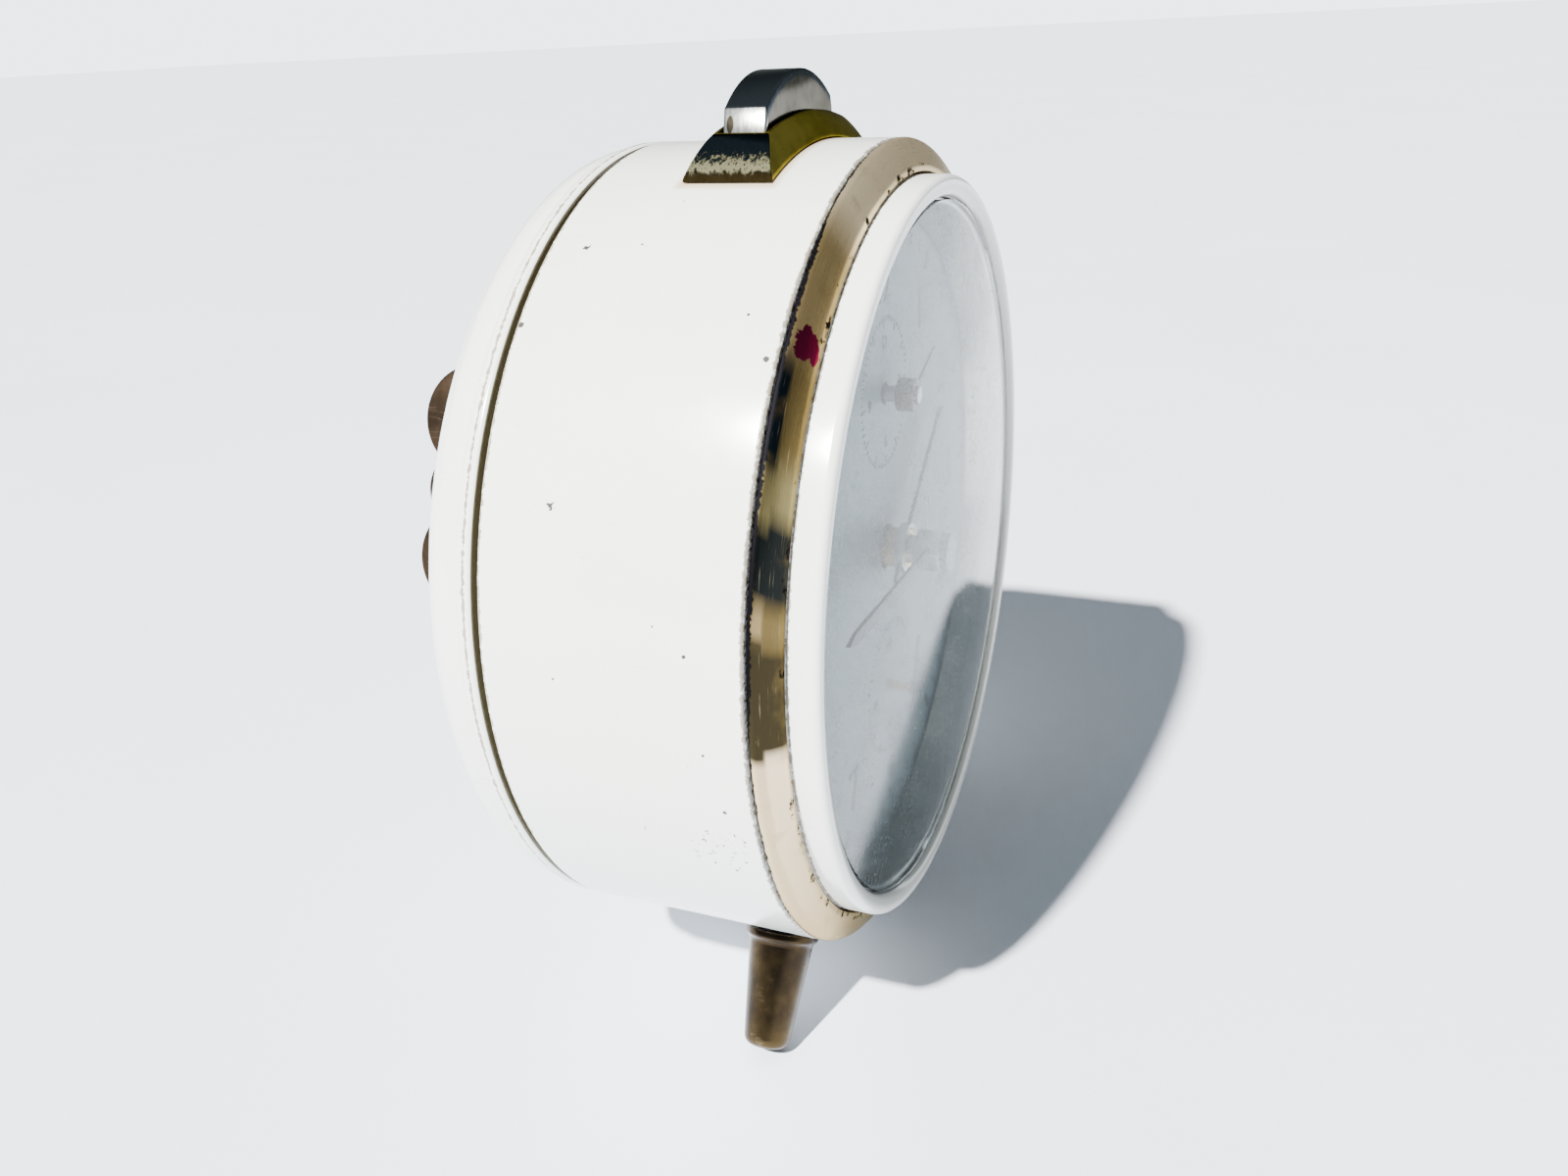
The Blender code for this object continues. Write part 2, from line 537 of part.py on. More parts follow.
def escapement():
    back = PALLET_DIRECTION + math.pi
    plate = [(2.0, -0.9), (2.0, 0.9), (0.5, 3.2), (-0.7, 3.2), (-0.9, 0.9), (-6.6, 0.8), (-7.4, 1.9), (-8.0, 1.7),
             (-7.0, 0.0), (-8.0, -1.7), (-7.4, -1.9), (-6.6, -0.8), (-0.9, -0.9), (-0.7, -3.2), (0.5, -3.2)]
    lever = flat("pallet_lever", [plate], -19.6, -20.5, STEEL, PALLET, turn=back)
    combine(lever, "UNION", arbor("pallet_arbor", 0.5, PALLET))
    rim = flat("balance_wheel", [circle(8.0, 40), *crossings(1.6, 6.8, 2, 0.3)], -10.0, -11.5, BRASS, BALANCE_AT)
    staff = arbor("balance_staff", 0.5, BALANCE_AT)
    roller = rod("balance_roller", 1.9, -17.8, -18.6, STEEL, BALANCE_AT)
    combine(rim, "UNION", staff, roller)
    points = [((1.3 + 4.2 * i / 48) * math.cos(i * math.pi / 6), (1.3 + 4.2 * i / 48) * math.sin(i * math.pi / 6),
               -14.8) for i in range(49)]
    wire("hairspring", points, 0.14, BLUED, standing(BALANCE_AT))
    finger = [(3.2, -0.9), (8.0, -0.7), (8.7, 0.0), (8.0, 0.7), (3.2, 0.9)]
    ring = arc(3.3, 0.28, 2 * math.pi - 0.28, 18)
    lever = flat("regulator_lever", [ring + finger[0:5], circle(1.2, 12)], -26.4, -27.0, BRASS, BALANCE_AT)
    combine(lever, "UNION", rod("regulator_pin", 0.7, -26.6, -38.0, STEEL, where=standing(BALANCE_AT)
            @ Matrix.Translation(Vector((8.0, 0, 0)) * MM)))


def hand(name, length, width, tail, front, thick, hub, bore, at, turn, paint=BLACK):
    blade = [(-width * 0.35, -tail), (width * 0.35, -tail), (width * 0.5, 0), (width * 0.28, length * 0.93),
             (0, length), (-width * 0.28, length * 0.93), (-width * 0.5, 0)]
    made = flat(name, [blade], front, front - thick, paint, at, turn)
    ring = turned(name + "_hub", [(0.01, hub[1]), (hub[0], hub[1]), (hub[0], hub[2]), (0.01, hub[2])], paint, at)
    combine(made, "UNION", ring)
    return combine(made, "DIFFERENCE", rod(name + "_bore", bore, hub[1] + (1 if bore else 0), hub[2] - 1, STEEL, at,
                                           hidden=True)) if bore else made


def motion_work():
    teeth_front = -4.6
    toward = towards(CENTRE, MINUTE)
    cannon = flat("cannon_pinion", [teeth_loop(CANNON_LEAVES, MOTION_MODULE, 0.0, True), circle(1.08, 16)],
                  teeth_front, teeth_front - 1.1, STEEL)
    pipe = turned("cannon_pipe", [(1.6, 2.0), (1.6, -5.0), (1.08, -5.0), (1.08, 2.0)], STEEL, steps=16)
    combine(cannon, "UNION", pipe)
    phase = mate(0.0, CANNON_LEAVES, MINUTE_TEETH, toward)
    minute = wheel("minute_wheel", MINUTE_TEETH, MOTION_MODULE, -4.7, 0.7, 0.7, MINUTE, phase)
    combine(minute, "UNION", flat("minute_pinion", [
        teeth_loop(MINUTE_LEAVES, MOTION_MODULE, 0.0, True), circle(0.7, 12)], -3.2, -5.0, STEEL, MINUTE))
    phase = mate(0.0, MINUTE_LEAVES, HOUR_TEETH, toward + math.pi)
    hour = wheel("hour_wheel", HOUR_TEETH, MOTION_MODULE, -3.4, 0.7, 1.75, CENTRE, phase)
    combine(hour, "UNION", turned("hour_pipe", [(2.3, 1.2), (2.3, -3.9), (1.75, -3.9), (1.75, 1.2)], BRASS, steps=16))
    phase = mate(phase, HOUR_TEETH, HOUR_TEETH, math.pi / 2)
    wheel("alarm_wheel", HOUR_TEETH, MOTION_MODULE, -3.4, 0.7, 0.98, ALARM, phase)
    hand("hour_hand", 20.5, 2.6, 5.0, 0.9, 0.4, (2.9, 1.2, 0.2), 2.36, CENTRE, HOUR_AT)
    hand("minute_hand", 30.5, 2.2, 7.0, 4.0, 0.4, (2.3, 5.9, 2.3), 0, CENTRE, MINUTE_AT)
    hand("second_hand", 6.6, 0.6, 2.4, 1.7, 0.25, (0.9, 2.0, 1.2), 0, FOURTH, SECOND_AT)
    hand("alarm_hand", 9.0, 0.7, 3.0, 1.9, 0.3, (1.85, 2.9, -0.8), 0.98, ALARM, ALARM_AT)
    for name, at in (("hand_setting_knob", CENTRE), ("alarm_setting_knob", ALARM)):
        turned(name, [(0.98 + 0.08, -38.4), (4.4, -38.4), (4.7, -38.8), (4.7, -43.2), (4.3, -43.7), (0, -43.7),
                      (0, -43.3), (1.06, -43.3)], BROWN, at, 16)
    rod("alarm_arbor", 0.9, 2.4, -43.0, STEEL, ALARM)


# --- movement: alarm train -----------------------------------------------------------------------------

def alarm_train():
    winding("alarm", ALARM_WINDING, ALARM_GREAT_TEETH, ALARM_MODULE, 0.0)
    phase = mate(0.0, ALARM_GREAT_TEETH, ALARM_LEAVES, towards(ALARM_WINDING, ALARM_ESCAPE))
    leaves = pinion("alarm_pinion", ALARM_LEAVES, ALARM_MODULE, -21.8, 2.6, ALARM_ESCAPE, phase)
    loop = []
    for i in range(ALARM_ESCAPE_TEETH):
        a = 2 * math.pi * i / ALARM_ESCAPE_TEETH
        loop += [(6.2 * math.cos(a), 6.2 * math.sin(a)), (4.9 * math.cos(a + 0.17), 4.9 * math.sin(a + 0.17))]
    escape = flat("alarm_escape_wheel", [loop, circle(0.4, 12)], -11.8, -12.5, BRASS, ALARM_ESCAPE)
    combine(escape, "UNION", leaves, arbor("alarm_escape_arbor", 0.5, ALARM_ESCAPE))
    anchor = [(-1.2, 0.0), (-5.0, 2.2), (-4.6, 3.0), (0, 1.4), (4.6, 3.0), (5.0, 2.2), (1.2, 0.0), (1.0, -1.0),
              (4.2, -8.6), (2.6, -9.2), (-0.8, -1.2)]
    hammer = flat("alarm_hammer", [anchor], -11.7, -12.6, STEEL, HAMMER)
    head = rod("hammer_head", 2.0, -9.5, -15.0, STEEL, where=standing(HAMMER)
               @ Matrix.Translation(Vector((3.4, -9.4, 0)) * MM))
    combine(hammer, "UNION", arbor("hammer_arbor", 0.6, HAMMER), head)
    stop = flat("alarm_stop_lever", [[(-9.2, -0.9), (0, -1.7), (1.7, 0), (0, 1.7), (-9.2, 1.6)]], -11.0, -12.6,
                STEEL, STOP_LEVER)
    combine(stop, "UNION", rod("stop_lever_pin", 0.7, FRONT_PLATE - PLATE_T - GAP, -12.0, STEEL, STOP_LEVER))


case()
dial()
back_cover()
feet()
button()
plates()
going_train()
escapement()
motion_work()
alarm_train()
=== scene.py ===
import json
import math

import bmesh
import bpy
import numpy as np
from mathutils import Matrix, Vector


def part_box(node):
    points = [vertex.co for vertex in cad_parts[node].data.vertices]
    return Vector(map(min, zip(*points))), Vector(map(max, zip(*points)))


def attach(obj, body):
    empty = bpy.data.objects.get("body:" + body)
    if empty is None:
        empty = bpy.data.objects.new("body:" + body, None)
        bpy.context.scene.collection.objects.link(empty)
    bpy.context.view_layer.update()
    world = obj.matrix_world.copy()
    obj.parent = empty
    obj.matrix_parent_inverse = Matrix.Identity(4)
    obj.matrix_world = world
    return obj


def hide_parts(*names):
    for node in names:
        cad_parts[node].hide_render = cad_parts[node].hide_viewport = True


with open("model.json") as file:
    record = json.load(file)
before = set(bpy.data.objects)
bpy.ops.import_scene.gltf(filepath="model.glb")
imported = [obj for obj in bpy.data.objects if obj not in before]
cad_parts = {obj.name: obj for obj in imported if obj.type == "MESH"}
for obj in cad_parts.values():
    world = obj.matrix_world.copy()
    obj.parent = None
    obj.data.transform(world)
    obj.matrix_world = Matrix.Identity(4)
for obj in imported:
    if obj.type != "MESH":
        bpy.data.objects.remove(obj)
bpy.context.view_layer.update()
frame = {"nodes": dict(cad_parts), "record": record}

# %% [markdown]
# The clock stands on a table with its dial facing -Y. Every turned piece shares one horizontal
# axis, the dial's, so all sizes here are a radius from that axis and a distance forward of the
# rear edge of the brass ring. Both are read back from the CAD pieces, so nothing can drift.

# %% The dial's axis and the forward zero
MM = 0.001


def middle(node, axis):
    low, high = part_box(node)
    return (low[axis] + high[axis]) / 2


RING_LOW, RING_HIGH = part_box("trim_ring")
AXIS_Z = middle("trim_ring", 2)
RING_Y = RING_HIGH[1]
CASE_R = (RING_HIGH[0] - RING_LOW[0]) / 2
print("axis", round(AXIS_Z, 4), "m up, case radius", round(CASE_R, 4))


def dial_points(x, y, forward):
    """Metres in the row frame of dial-frame millimetres: x to the right, y up, forward out of
    the dial. Row Y runs backwards, so forward is taken away from the ring's plane."""
    x, y, forward = np.broadcast_arrays(x, y, forward)
    return np.stack([x * MM, RING_Y - forward * MM, AXIS_Z + y * MM], axis=-1)


def on_dial(node):
    """A CAD piece's middle as dial-frame millimetres, x to the right and y up."""
    return middle(node, 0) / MM, (middle(node, 2) - AXIS_Z) / MM


# %% [markdown]
# The camera comes before any piece. It stands to the left of the clock and looks at the side of
# the case along a falling line, so the dial is seen at a grazing angle. Its back and up
# directions are given as two vectors, from which the third follows.

# %% Camera
EYE = Vector((-0.12945, RING_Y - 0.0389, AXIS_Z + 0.05606))
EYE_BACK = Vector((-0.8432, -0.3475, 0.4103)).normalized()
EYE_UP = Vector((0.3988, 0.1075, 0.9107))
eye_right = EYE_UP.cross(EYE_BACK).normalized()
turn = Matrix((eye_right, EYE_BACK.cross(eye_right), EYE_BACK)).transposed()
camera = bpy.data.objects.new("camera", bpy.data.cameras.new("camera"))
camera.matrix_world = Matrix.Translation(EYE) @ turn.to_4x4()
camera.data.lens = 28.7
camera.data.sensor_width = 36.0
camera.data.clip_start = 0.005
bpy.context.scene.collection.objects.link(camera)
bpy.context.scene.camera = camera
print("camera at", tuple(round(v, 3) for v in EYE))

# %% [markdown]
# A shape here is always a grid of points worked out at once. A grid becomes a mesh by joining
# each point to its neighbours, and wraps round where the surface closes on itself. Points that
# fall together at a pole are merged, and the faces are then turned to look outwards.

# %% Grids to meshes


def mesh_object(name, points, faces, merge=True):
    mesh = bpy.data.meshes.new(name)
    mesh.from_pydata(points.reshape(-1, 3).tolist(), [], faces)
    if merge:
        shape = bmesh.new()
        shape.from_mesh(mesh)
        bmesh.ops.remove_doubles(shape, verts=shape.verts, dist=1e-7)
        bmesh.ops.recalc_face_normals(shape, faces=shape.faces)
        shape.to_mesh(mesh)
        shape.free()
    mesh.shade_smooth()
    mesh.set_sharp_from_angle(angle=math.radians(40))
    obj = bpy.data.objects.new(name, mesh)
    bpy.context.scene.collection.objects.link(obj)
    return obj


def grid_faces(rows, columns, wrap_rows=False, wrap_columns=False):
    """Quads between neighbours of a rows by columns grid, wrapping where asked."""
    i = np.arange(rows if wrap_rows else rows - 1)
    j = np.arange(columns if wrap_columns else columns - 1)
    i, j = np.meshgrid(i, j, indexing="ij")
    ni, nj = (i + 1) % rows, (j + 1) % columns
    quads = np.stack([i * columns + j, ni * columns + j, ni * columns + nj, i * columns + nj], -1)
    return quads.reshape(-1, 4).tolist()


BOX_SIDES = [(0, 1, 3, 2), (4, 6, 7, 5), (0, 4, 5, 1), (2, 3, 7, 6), (0, 2, 6, 4), (1, 5, 7, 3)]


def box_corners(x, y, z):
    """The eight corners of a box from its low and high x, y and z, x changing fastest."""
    return np.array([(a, b, c) for c in z for b in y for a in x], float)


def fillet(corners, radii, steps=5):
    """Each corner is swapped for a short parabola that begins and ends one radius away from it
    along its two sides: a quadratic blend of the start, the corner and the end."""
    corners = np.array(corners, float)
    t = np.linspace(0, 1, steps + 1)[:, None]
    before, after = np.roll(corners, 1, 0), np.roll(corners, -1, 0)
    out = []
    for corner, a, b, radius in zip(corners, before, after, radii):
        if radius == 0:
            out.append(corner[None])
            continue
        start = corner + (a - corner) / np.linalg.norm(a - corner) * radius
        end = corner + (b - corner) / np.linalg.norm(b - corner) * radius
        out.append((1 - t) ** 2 * start + 2 * t * (1 - t) * corner + t ** 2 * end)
    return np.concatenate(out)


def turned(name, profile, around=(0.0, 0.0), steps=256, flutes=None):
    """A closed (radius, forward) profile carried round an axis parallel to the dial's: x is the
    radius times the cosine of the turn, y its sine. flutes scales the radius by the turn."""
    profile = np.asarray(profile, float)
    angle = np.arange(steps) * 2 * np.pi / steps
    radius, forward = profile[:, :1], profile[:, 1:]
    swell = 1 if flutes is None else 1 + flutes(angle, radius)
    across, up = radius * swell * np.cos(angle), radius * swell * np.sin(angle)
    points = dial_points(around[0] + across, around[1] + up, forward)
    return mesh_object(name, points, grid_faces(len(profile), steps, True, True))


def spindle(name, profile, start, direction, steps=64):
    """A closed (radius, distance) profile carried round a line: the line's point at the distance,
    plus the radius along the two directions square to it."""
    profile = np.asarray(profile, float)
    direction = np.array(direction, float) / np.linalg.norm(direction)
    side = np.cross(direction, (0.0, 1.0, 0.0))
    side /= np.linalg.norm(side)
    over = np.cross(direction, side)
    angle = (np.arange(steps) * 2 * np.pi / steps)[None, :, None]
    radius, along = profile[:, None, :1], profile[:, None, 1:]
    ring = np.cos(angle) * side + np.sin(angle) * over
    points = np.array(start, float) + (along * direction + radius * ring) * MM
    return mesh_object(name, points, grid_faces(len(profile), steps, True, True))


def outward(loop):
    """Unit normals of a closed loop of points: each chord between a point's neighbours, turned a
    quarter turn to the outside."""
    chord = np.roll(loop, -1, 0) - np.roll(loop, 1, 0)
    area = np.sum(loop[:, 0] * np.roll(loop[:, 1], -1) - np.roll(loop[:, 0], -1) * loop[:, 1])
    normal = np.stack([chord[:, 1], -chord[:, 0]], -1) * np.sign(area)
    return normal / np.linalg.norm(normal, axis=1, keepdims=True)


def slab(name, loop, low, high, edge, place, edge_low=None, steps=5):
    """A flat outline with two faces and soft edges. Near each face the outline draws in along a
    quarter circle: the inset is the edge times one minus the cosine of the way round."""
    loop = np.asarray(loop, float)
    edge_low = edge if edge_low is None else edge_low
    turns = np.linspace(0, np.pi / 2, steps + 1)
    inset = np.concatenate([edge_low * (1 - np.sin(turns)), edge * (1 - np.cos(turns))])
    height = np.concatenate([low + edge_low * (1 - np.cos(turns)), high - edge * (1 - np.sin(turns))])
    rings = loop[None] - inset[:, None, None] * outward(loop)[None]
    points = place(rings[..., 0], rings[..., 1], height[:, None] + 0 * rings[..., 0])
    count = len(loop)
    faces = grid_faces(len(inset), count, False, True)
    faces += [list(range(count)), list(range(len(inset) * count - 1, (len(inset) - 1) * count - 1, -1))]
    return mesh_object(name, points, faces)


def arc(radius, start, end, count, at=(0.0, 0.0)):
    turns = np.linspace(start, end, count)
    return np.stack([at[0] + radius * np.cos(turns), at[1] + radius * np.sin(turns)], -1)


def settle(obj, body, slot, *nodes):
    """Sends a finished piece to its body and hides the CAD nodes it stands for; the slot is not used."""
    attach(obj, body)
    if nodes:
        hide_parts(*nodes)
    print(obj.name, len(obj.data.polygons), "faces")
    return obj


def carve(obj, *tools):
    """Takes tools away from a piece with exact Booleans and keeps the result as its own mesh."""
    for tool in tools:
        cut = obj.modifiers.new("cut", "BOOLEAN")
        cut.operation = "DIFFERENCE"
        cut.object = tool
    bpy.context.view_layer.update()
    mesh = bpy.data.meshes.new_from_object(obj.evaluated_get(bpy.context.evaluated_depsgraph_get()))
    obj.modifiers.clear()
    obj.data = mesh
    for tool in tools:
        bpy.data.objects.remove(tool, do_unlink=True)
    mesh.shade_smooth()
    mesh.set_sharp_from_angle(angle=math.radians(40))
    return obj


# %% [markdown]
# The finishes are built from four small effects that several of them share: chips of lost
# paint, fine scratches, a ragged line of dirt along a seam, and slow patches of another tone.
# Each is a node group that puts out one mask, and a material decides what the mask does.

# %% Node helpers


def wire_up(tree, kind, **values):
    node = tree.nodes.new(kind)
    for key, value in values.items():
        setattr(node, key, value)
    return node


def feed(tree, node, socket, value):
    if isinstance(value, bpy.types.NodeSocket):
        tree.links.new(value, node.inputs[socket])
    elif value is not None:
        node.inputs[socket].default_value = value


def calc(tree, operation, *values):
    node = wire_up(tree, "ShaderNodeMath", operation=operation)
    for place, value in enumerate(values):
        feed(tree, node, place, value)
    return node.outputs[0]


def times(tree, a, b):
    return calc(tree, "MULTIPLY", a, b)


def plus(tree, a, b):
    return calc(tree, "ADD", a, b)


def minus(tree, a, b):
    return calc(tree, "SUBTRACT", a, b)


def larger(tree, a, b):
    return calc(tree, "MAXIMUM", a, b)


def root_sum(tree, a, b):
    """The root of a squared plus b squared."""
    return calc(tree, "SQRT", plus(tree, times(tree, a, a), times(tree, b, b)))


def step_mask(tree, value, low, high):
    node = wire_up(tree, "ShaderNodeMapRange", interpolation_type="SMOOTHSTEP")
    feed(tree, node, 0, value)
    feed(tree, node, 1, low)
    feed(tree, node, 2, high)
    return node.outputs[0]


def noise(tree, vector, scale, detail=3.0, rough=0.55, color=False):
    node = wire_up(tree, "ShaderNodeTexNoise")
    feed(tree, node, "Vector", vector)
    feed(tree, node, "Scale", scale)
    feed(tree, node, "Detail", detail)
    feed(tree, node, "Roughness", rough)
    return node.outputs["Color" if color else "Fac"]


def mixed(tree, factor, a, b):
    node = wire_up(tree, "ShaderNodeMix", data_type="RGBA")
    feed(tree, node, 0, factor)
    for socket, value in ((6, a), (7, b)):
        if not isinstance(value, bpy.types.NodeSocket):
            value = (*value, 1.0)
        feed(tree, node, socket, value)
    return node.outputs[2]


def ramp(tree, factor, stops):
    node = wire_up(tree, "ShaderNodeValToRGB")
    feed(tree, node, 0, factor)
    points = node.color_ramp.elements
    for point, (place, color) in ((points[0], stops[0]), (points[1], stops[-1])):
        point.position = place
        point.color = (*color, 1.0)
    for place, color in stops[1:-1]:
        points.new(place).color = (*color, 1.0)
    return node.outputs[0]


def new_group(name, inputs):
    group = bpy.data.node_groups.new(name, "ShaderNodeTree")
    for label, value in inputs.items():
        made = group.interface.new_socket(label, in_out="INPUT", socket_type="NodeSocketFloat")
        made.default_value = value
    group.interface.new_socket("Mask", in_out="OUTPUT", socket_type="NodeSocketFloat")
    source = group.nodes.new("NodeGroupInput")
    drain = group.nodes.new("NodeGroupOutput")
    place = wire_up(group, "ShaderNodeTexCoord").outputs["Object"]
    return group, source.outputs, drain.inputs["Mask"], place


def dial_frame(tree, place):
    """(x, y, forward) in metres from the dial's axis, the angle round it, and the radius."""
    split = wire_up(tree, "ShaderNodeSeparateXYZ")
    tree.links.new(place, split.inputs[0])
    x = split.outputs["X"]
    forward = minus(tree, RING_Y, split.outputs["Y"])
    y = minus(tree, split.outputs["Z"], AXIS_Z)
    return x, y, forward, calc(tree, "ARCTAN2", y, x), root_sum(tree, x, y)


# %% Chips: small cells of a Voronoi, kept only where a second noise allows them
CHIPS, given, out, spot = new_group("paint_chips", {"Scale": 300.0, "Size": 0.1, "Amount": 0.3})
cells = wire_up(CHIPS, "ShaderNodeTexVoronoi")
bent = wire_up(CHIPS, "ShaderNodeVectorMath", operation="MULTIPLY_ADD")
feed(CHIPS, bent, 0, noise(CHIPS, spot, 2500.0, color=True))
feed(CHIPS, bent, 1, (0.0012, 0.0012, 0.0012))
feed(CHIPS, bent, 2, spot)
feed(CHIPS, cells, "Vector", bent.outputs[0])
feed(CHIPS, cells, "Scale", given["Scale"])
near = calc(CHIPS, "LESS_THAN", cells.outputs["Distance"], given["Size"])
pick = wire_up(CHIPS, "ShaderNodeSeparateColor")
feed(CHIPS, pick, 0, cells.outputs["Color"])
chosen = calc(CHIPS, "LESS_THAN", pick.outputs[0], given["Amount"])
CHIPS.links.new(times(CHIPS, near, chosen), out)

# %% Scratches: the crest of a noise stretched far along one slanted direction
SCRATCHES, given, out, spot = new_group("fine_scratches", {"Scale": 60.0, "Width": 0.02, "Amount": 0.5})
drawn = wire_up(SCRATCHES, "ShaderNodeMapping")
feed(SCRATCHES, drawn, "Vector", spot)
drawn.inputs["Rotation"].default_value = (0.5, 0.9, 0.35)
drawn.inputs["Scale"].default_value = (14.0, 1.0, 9.0)
crest = noise(SCRATCHES, drawn.outputs[0], given["Scale"], 1.0)
line = calc(SCRATCHES, "ABSOLUTE", minus(SCRATCHES, crest, 0.5))
thin = calc(SCRATCHES, "LESS_THAN", line, given["Width"])
gaps = minus(SCRATCHES, 1.0, given["Amount"])
some = calc(SCRATCHES, "GREATER_THAN", noise(SCRATCHES, spot, 190.0, 2.0), gaps)
SCRATCHES.links.new(times(SCRATCHES, thin, some), out)

# %% Seam dirt: a band round the case at one forward place, with a ragged edge
SEAM, given, out, spot = new_group("seam_dirt", {"Forward": 0.0, "Width": 0.0004, "Ragged": 0.0004})
_, _, ahead, _, _ = dial_frame(SEAM, spot)
wobble = times(SEAM, minus(SEAM, noise(SEAM, spot, 1400.0, 4.0, 0.7), 0.5), given["Ragged"])
away = calc(SEAM, "ABSOLUTE", minus(SEAM, ahead, given["Forward"]))
SEAM.links.new(calc(SEAM, "LESS_THAN", plus(SEAM, away, wobble), given["Width"]), out)

# %% Patches: soft clouds for yellowing and tarnish
PATCHES, given, out, spot = new_group("tone_patches", {"Scale": 40.0, "Low": 0.4, "High": 0.65})
clouds = noise(PATCHES, spot, given["Scale"], 4.0)
PATCHES.links.new(step_mask(PATCHES, clouds, given["Low"], given["High"]), out)


def effect(tree, group, **values):
    node = tree.nodes.new("ShaderNodeGroup")
    node.node_tree = group
    for key, value in values.items():
        feed(tree, node, key.capitalize(), value)
    return node.outputs["Mask"]


def finish(name, roughness=0.3, metallic=0.0, **constants):
    """A material with its Principled shader, ready for colour, roughness and bump."""
    made = bpy.data.materials.new(name)
    made.use_nodes = True
    shader = made.node_tree.nodes["Principled BSDF"]
    shader.inputs["Roughness"].default_value = roughness
    shader.inputs["Metallic"].default_value = metallic
    for key, value in constants.items():
        shader.inputs[key.replace("_", " ")].default_value = value
    tree = made.node_tree
    return made, tree, shader, wire_up(tree, "ShaderNodeTexCoord").outputs["Object"]


def bump(tree, shader, height, strength, distance=0.0001):
    node = wire_up(tree, "ShaderNodeBump")
    feed(tree, node, "Height", height)
    feed(tree, node, "Strength", strength)
    feed(tree, node, "Distance", distance)
    tree.links.new(node.outputs[0], shader.inputs["Normal"])


# %% [markdown]
# The case is sheet steel under thick white enamel, a little warm with age. The enamel is hard
# and glossy, and shows its age as specks down to the black primer, a few hair scratches, and
# dirt along its seams, so those masks mix a dark colour into the white and roughen it. The
# bezel's inner lip and the gap where the back cover meets the band are painted darker, as
# painted shade.

# %% White enamel
# Lost paint, as (angle in degrees round the dial's axis, forward mm, radius mm)
BAND_MARKS = ((137.5, -1.3, 0.30), (134.5, -26.2, 0.34), (113.5, -15.2, 0.14), (122.0, -17.0, 0.16),
              (132.0, -4.0, 0.15), (171.0, -5.8, 0.20), (183.0, -4.5, 0.18), (168.0, -8.8, 0.14),
              (191.0, -3.2, 0.22), (176.0, -19.0, 0.12))
CLUSTER = (198.5, -4.2, 4.6)
# The tan halo round the button's base: soft half widths, in radians round and metres forward
HALO_MIDDLE, HALO_ROUND, HALO_DEEP = 0.012, (0.372, 0.345), (0.0058, 0.0048)
TAN, PRIMER, SEAM_BROWN = (0.52, 0.36, 0.19), (0.03, 0.026, 0.02), (0.16, 0.125, 0.07)
# Metres from the axis: inside GROOVE_R lies the gap where the back cover meets the band, and between
# LIP_SHADE_RADII lies the bezel's inner lip. Both are darkened as painted shade
GROOVE_R, LIP_SHADE_RADII = 0.04478, (0.0407, 0.0399)


def distance_from(tree, turn_at, ahead, angle, forward):
    """Millimetres over the case's side from one place: the arc and the forward step, squared,
    added and rooted."""
    swing = calc(tree, "FLOORED_MODULO", turn_at, 2 * math.pi)
    arc_mm = times(tree, minus(tree, swing, math.radians(angle)), CASE_R / MM)
    step = minus(tree, calc(tree, "DIVIDE", ahead, MM), forward)
    return root_sum(tree, arc_mm, step)


def band_wear(tree, base, marks, ahead, turn_at, ragged):
    """The halo round the button's base, the listed marks, and one cluster of tiny ones."""
    from_top = calc(tree, "ABSOLUTE", minus(tree, turn_at, math.pi / 2))
    from_middle = calc(tree, "ABSOLUTE", plus(tree, ahead, HALO_MIDDLE))
    halo = times(tree, step_mask(tree, from_top, *HALO_ROUND), step_mask(tree, from_middle, *HALO_DEEP))
    base = mixed(tree, times(tree, halo, 0.75), base, TAN)
    for angle, forward, size in BAND_MARKS:
        away = plus(tree, distance_from(tree, turn_at, ahead, angle, forward), ragged)
        marks = larger(tree, marks, calc(tree, "LESS_THAN", away, size + 0.12))
    angle, forward, reach = CLUSTER
    near = step_mask(tree, distance_from(tree, turn_at, ahead, angle, forward), reach, 1.5)
    fine = effect(tree, CHIPS, scale=1300.0, size=0.24, amount=0.8)
    return base, larger(tree, marks, times(tree, fine, calc(tree, "GREATER_THAN", near, 0.3)))


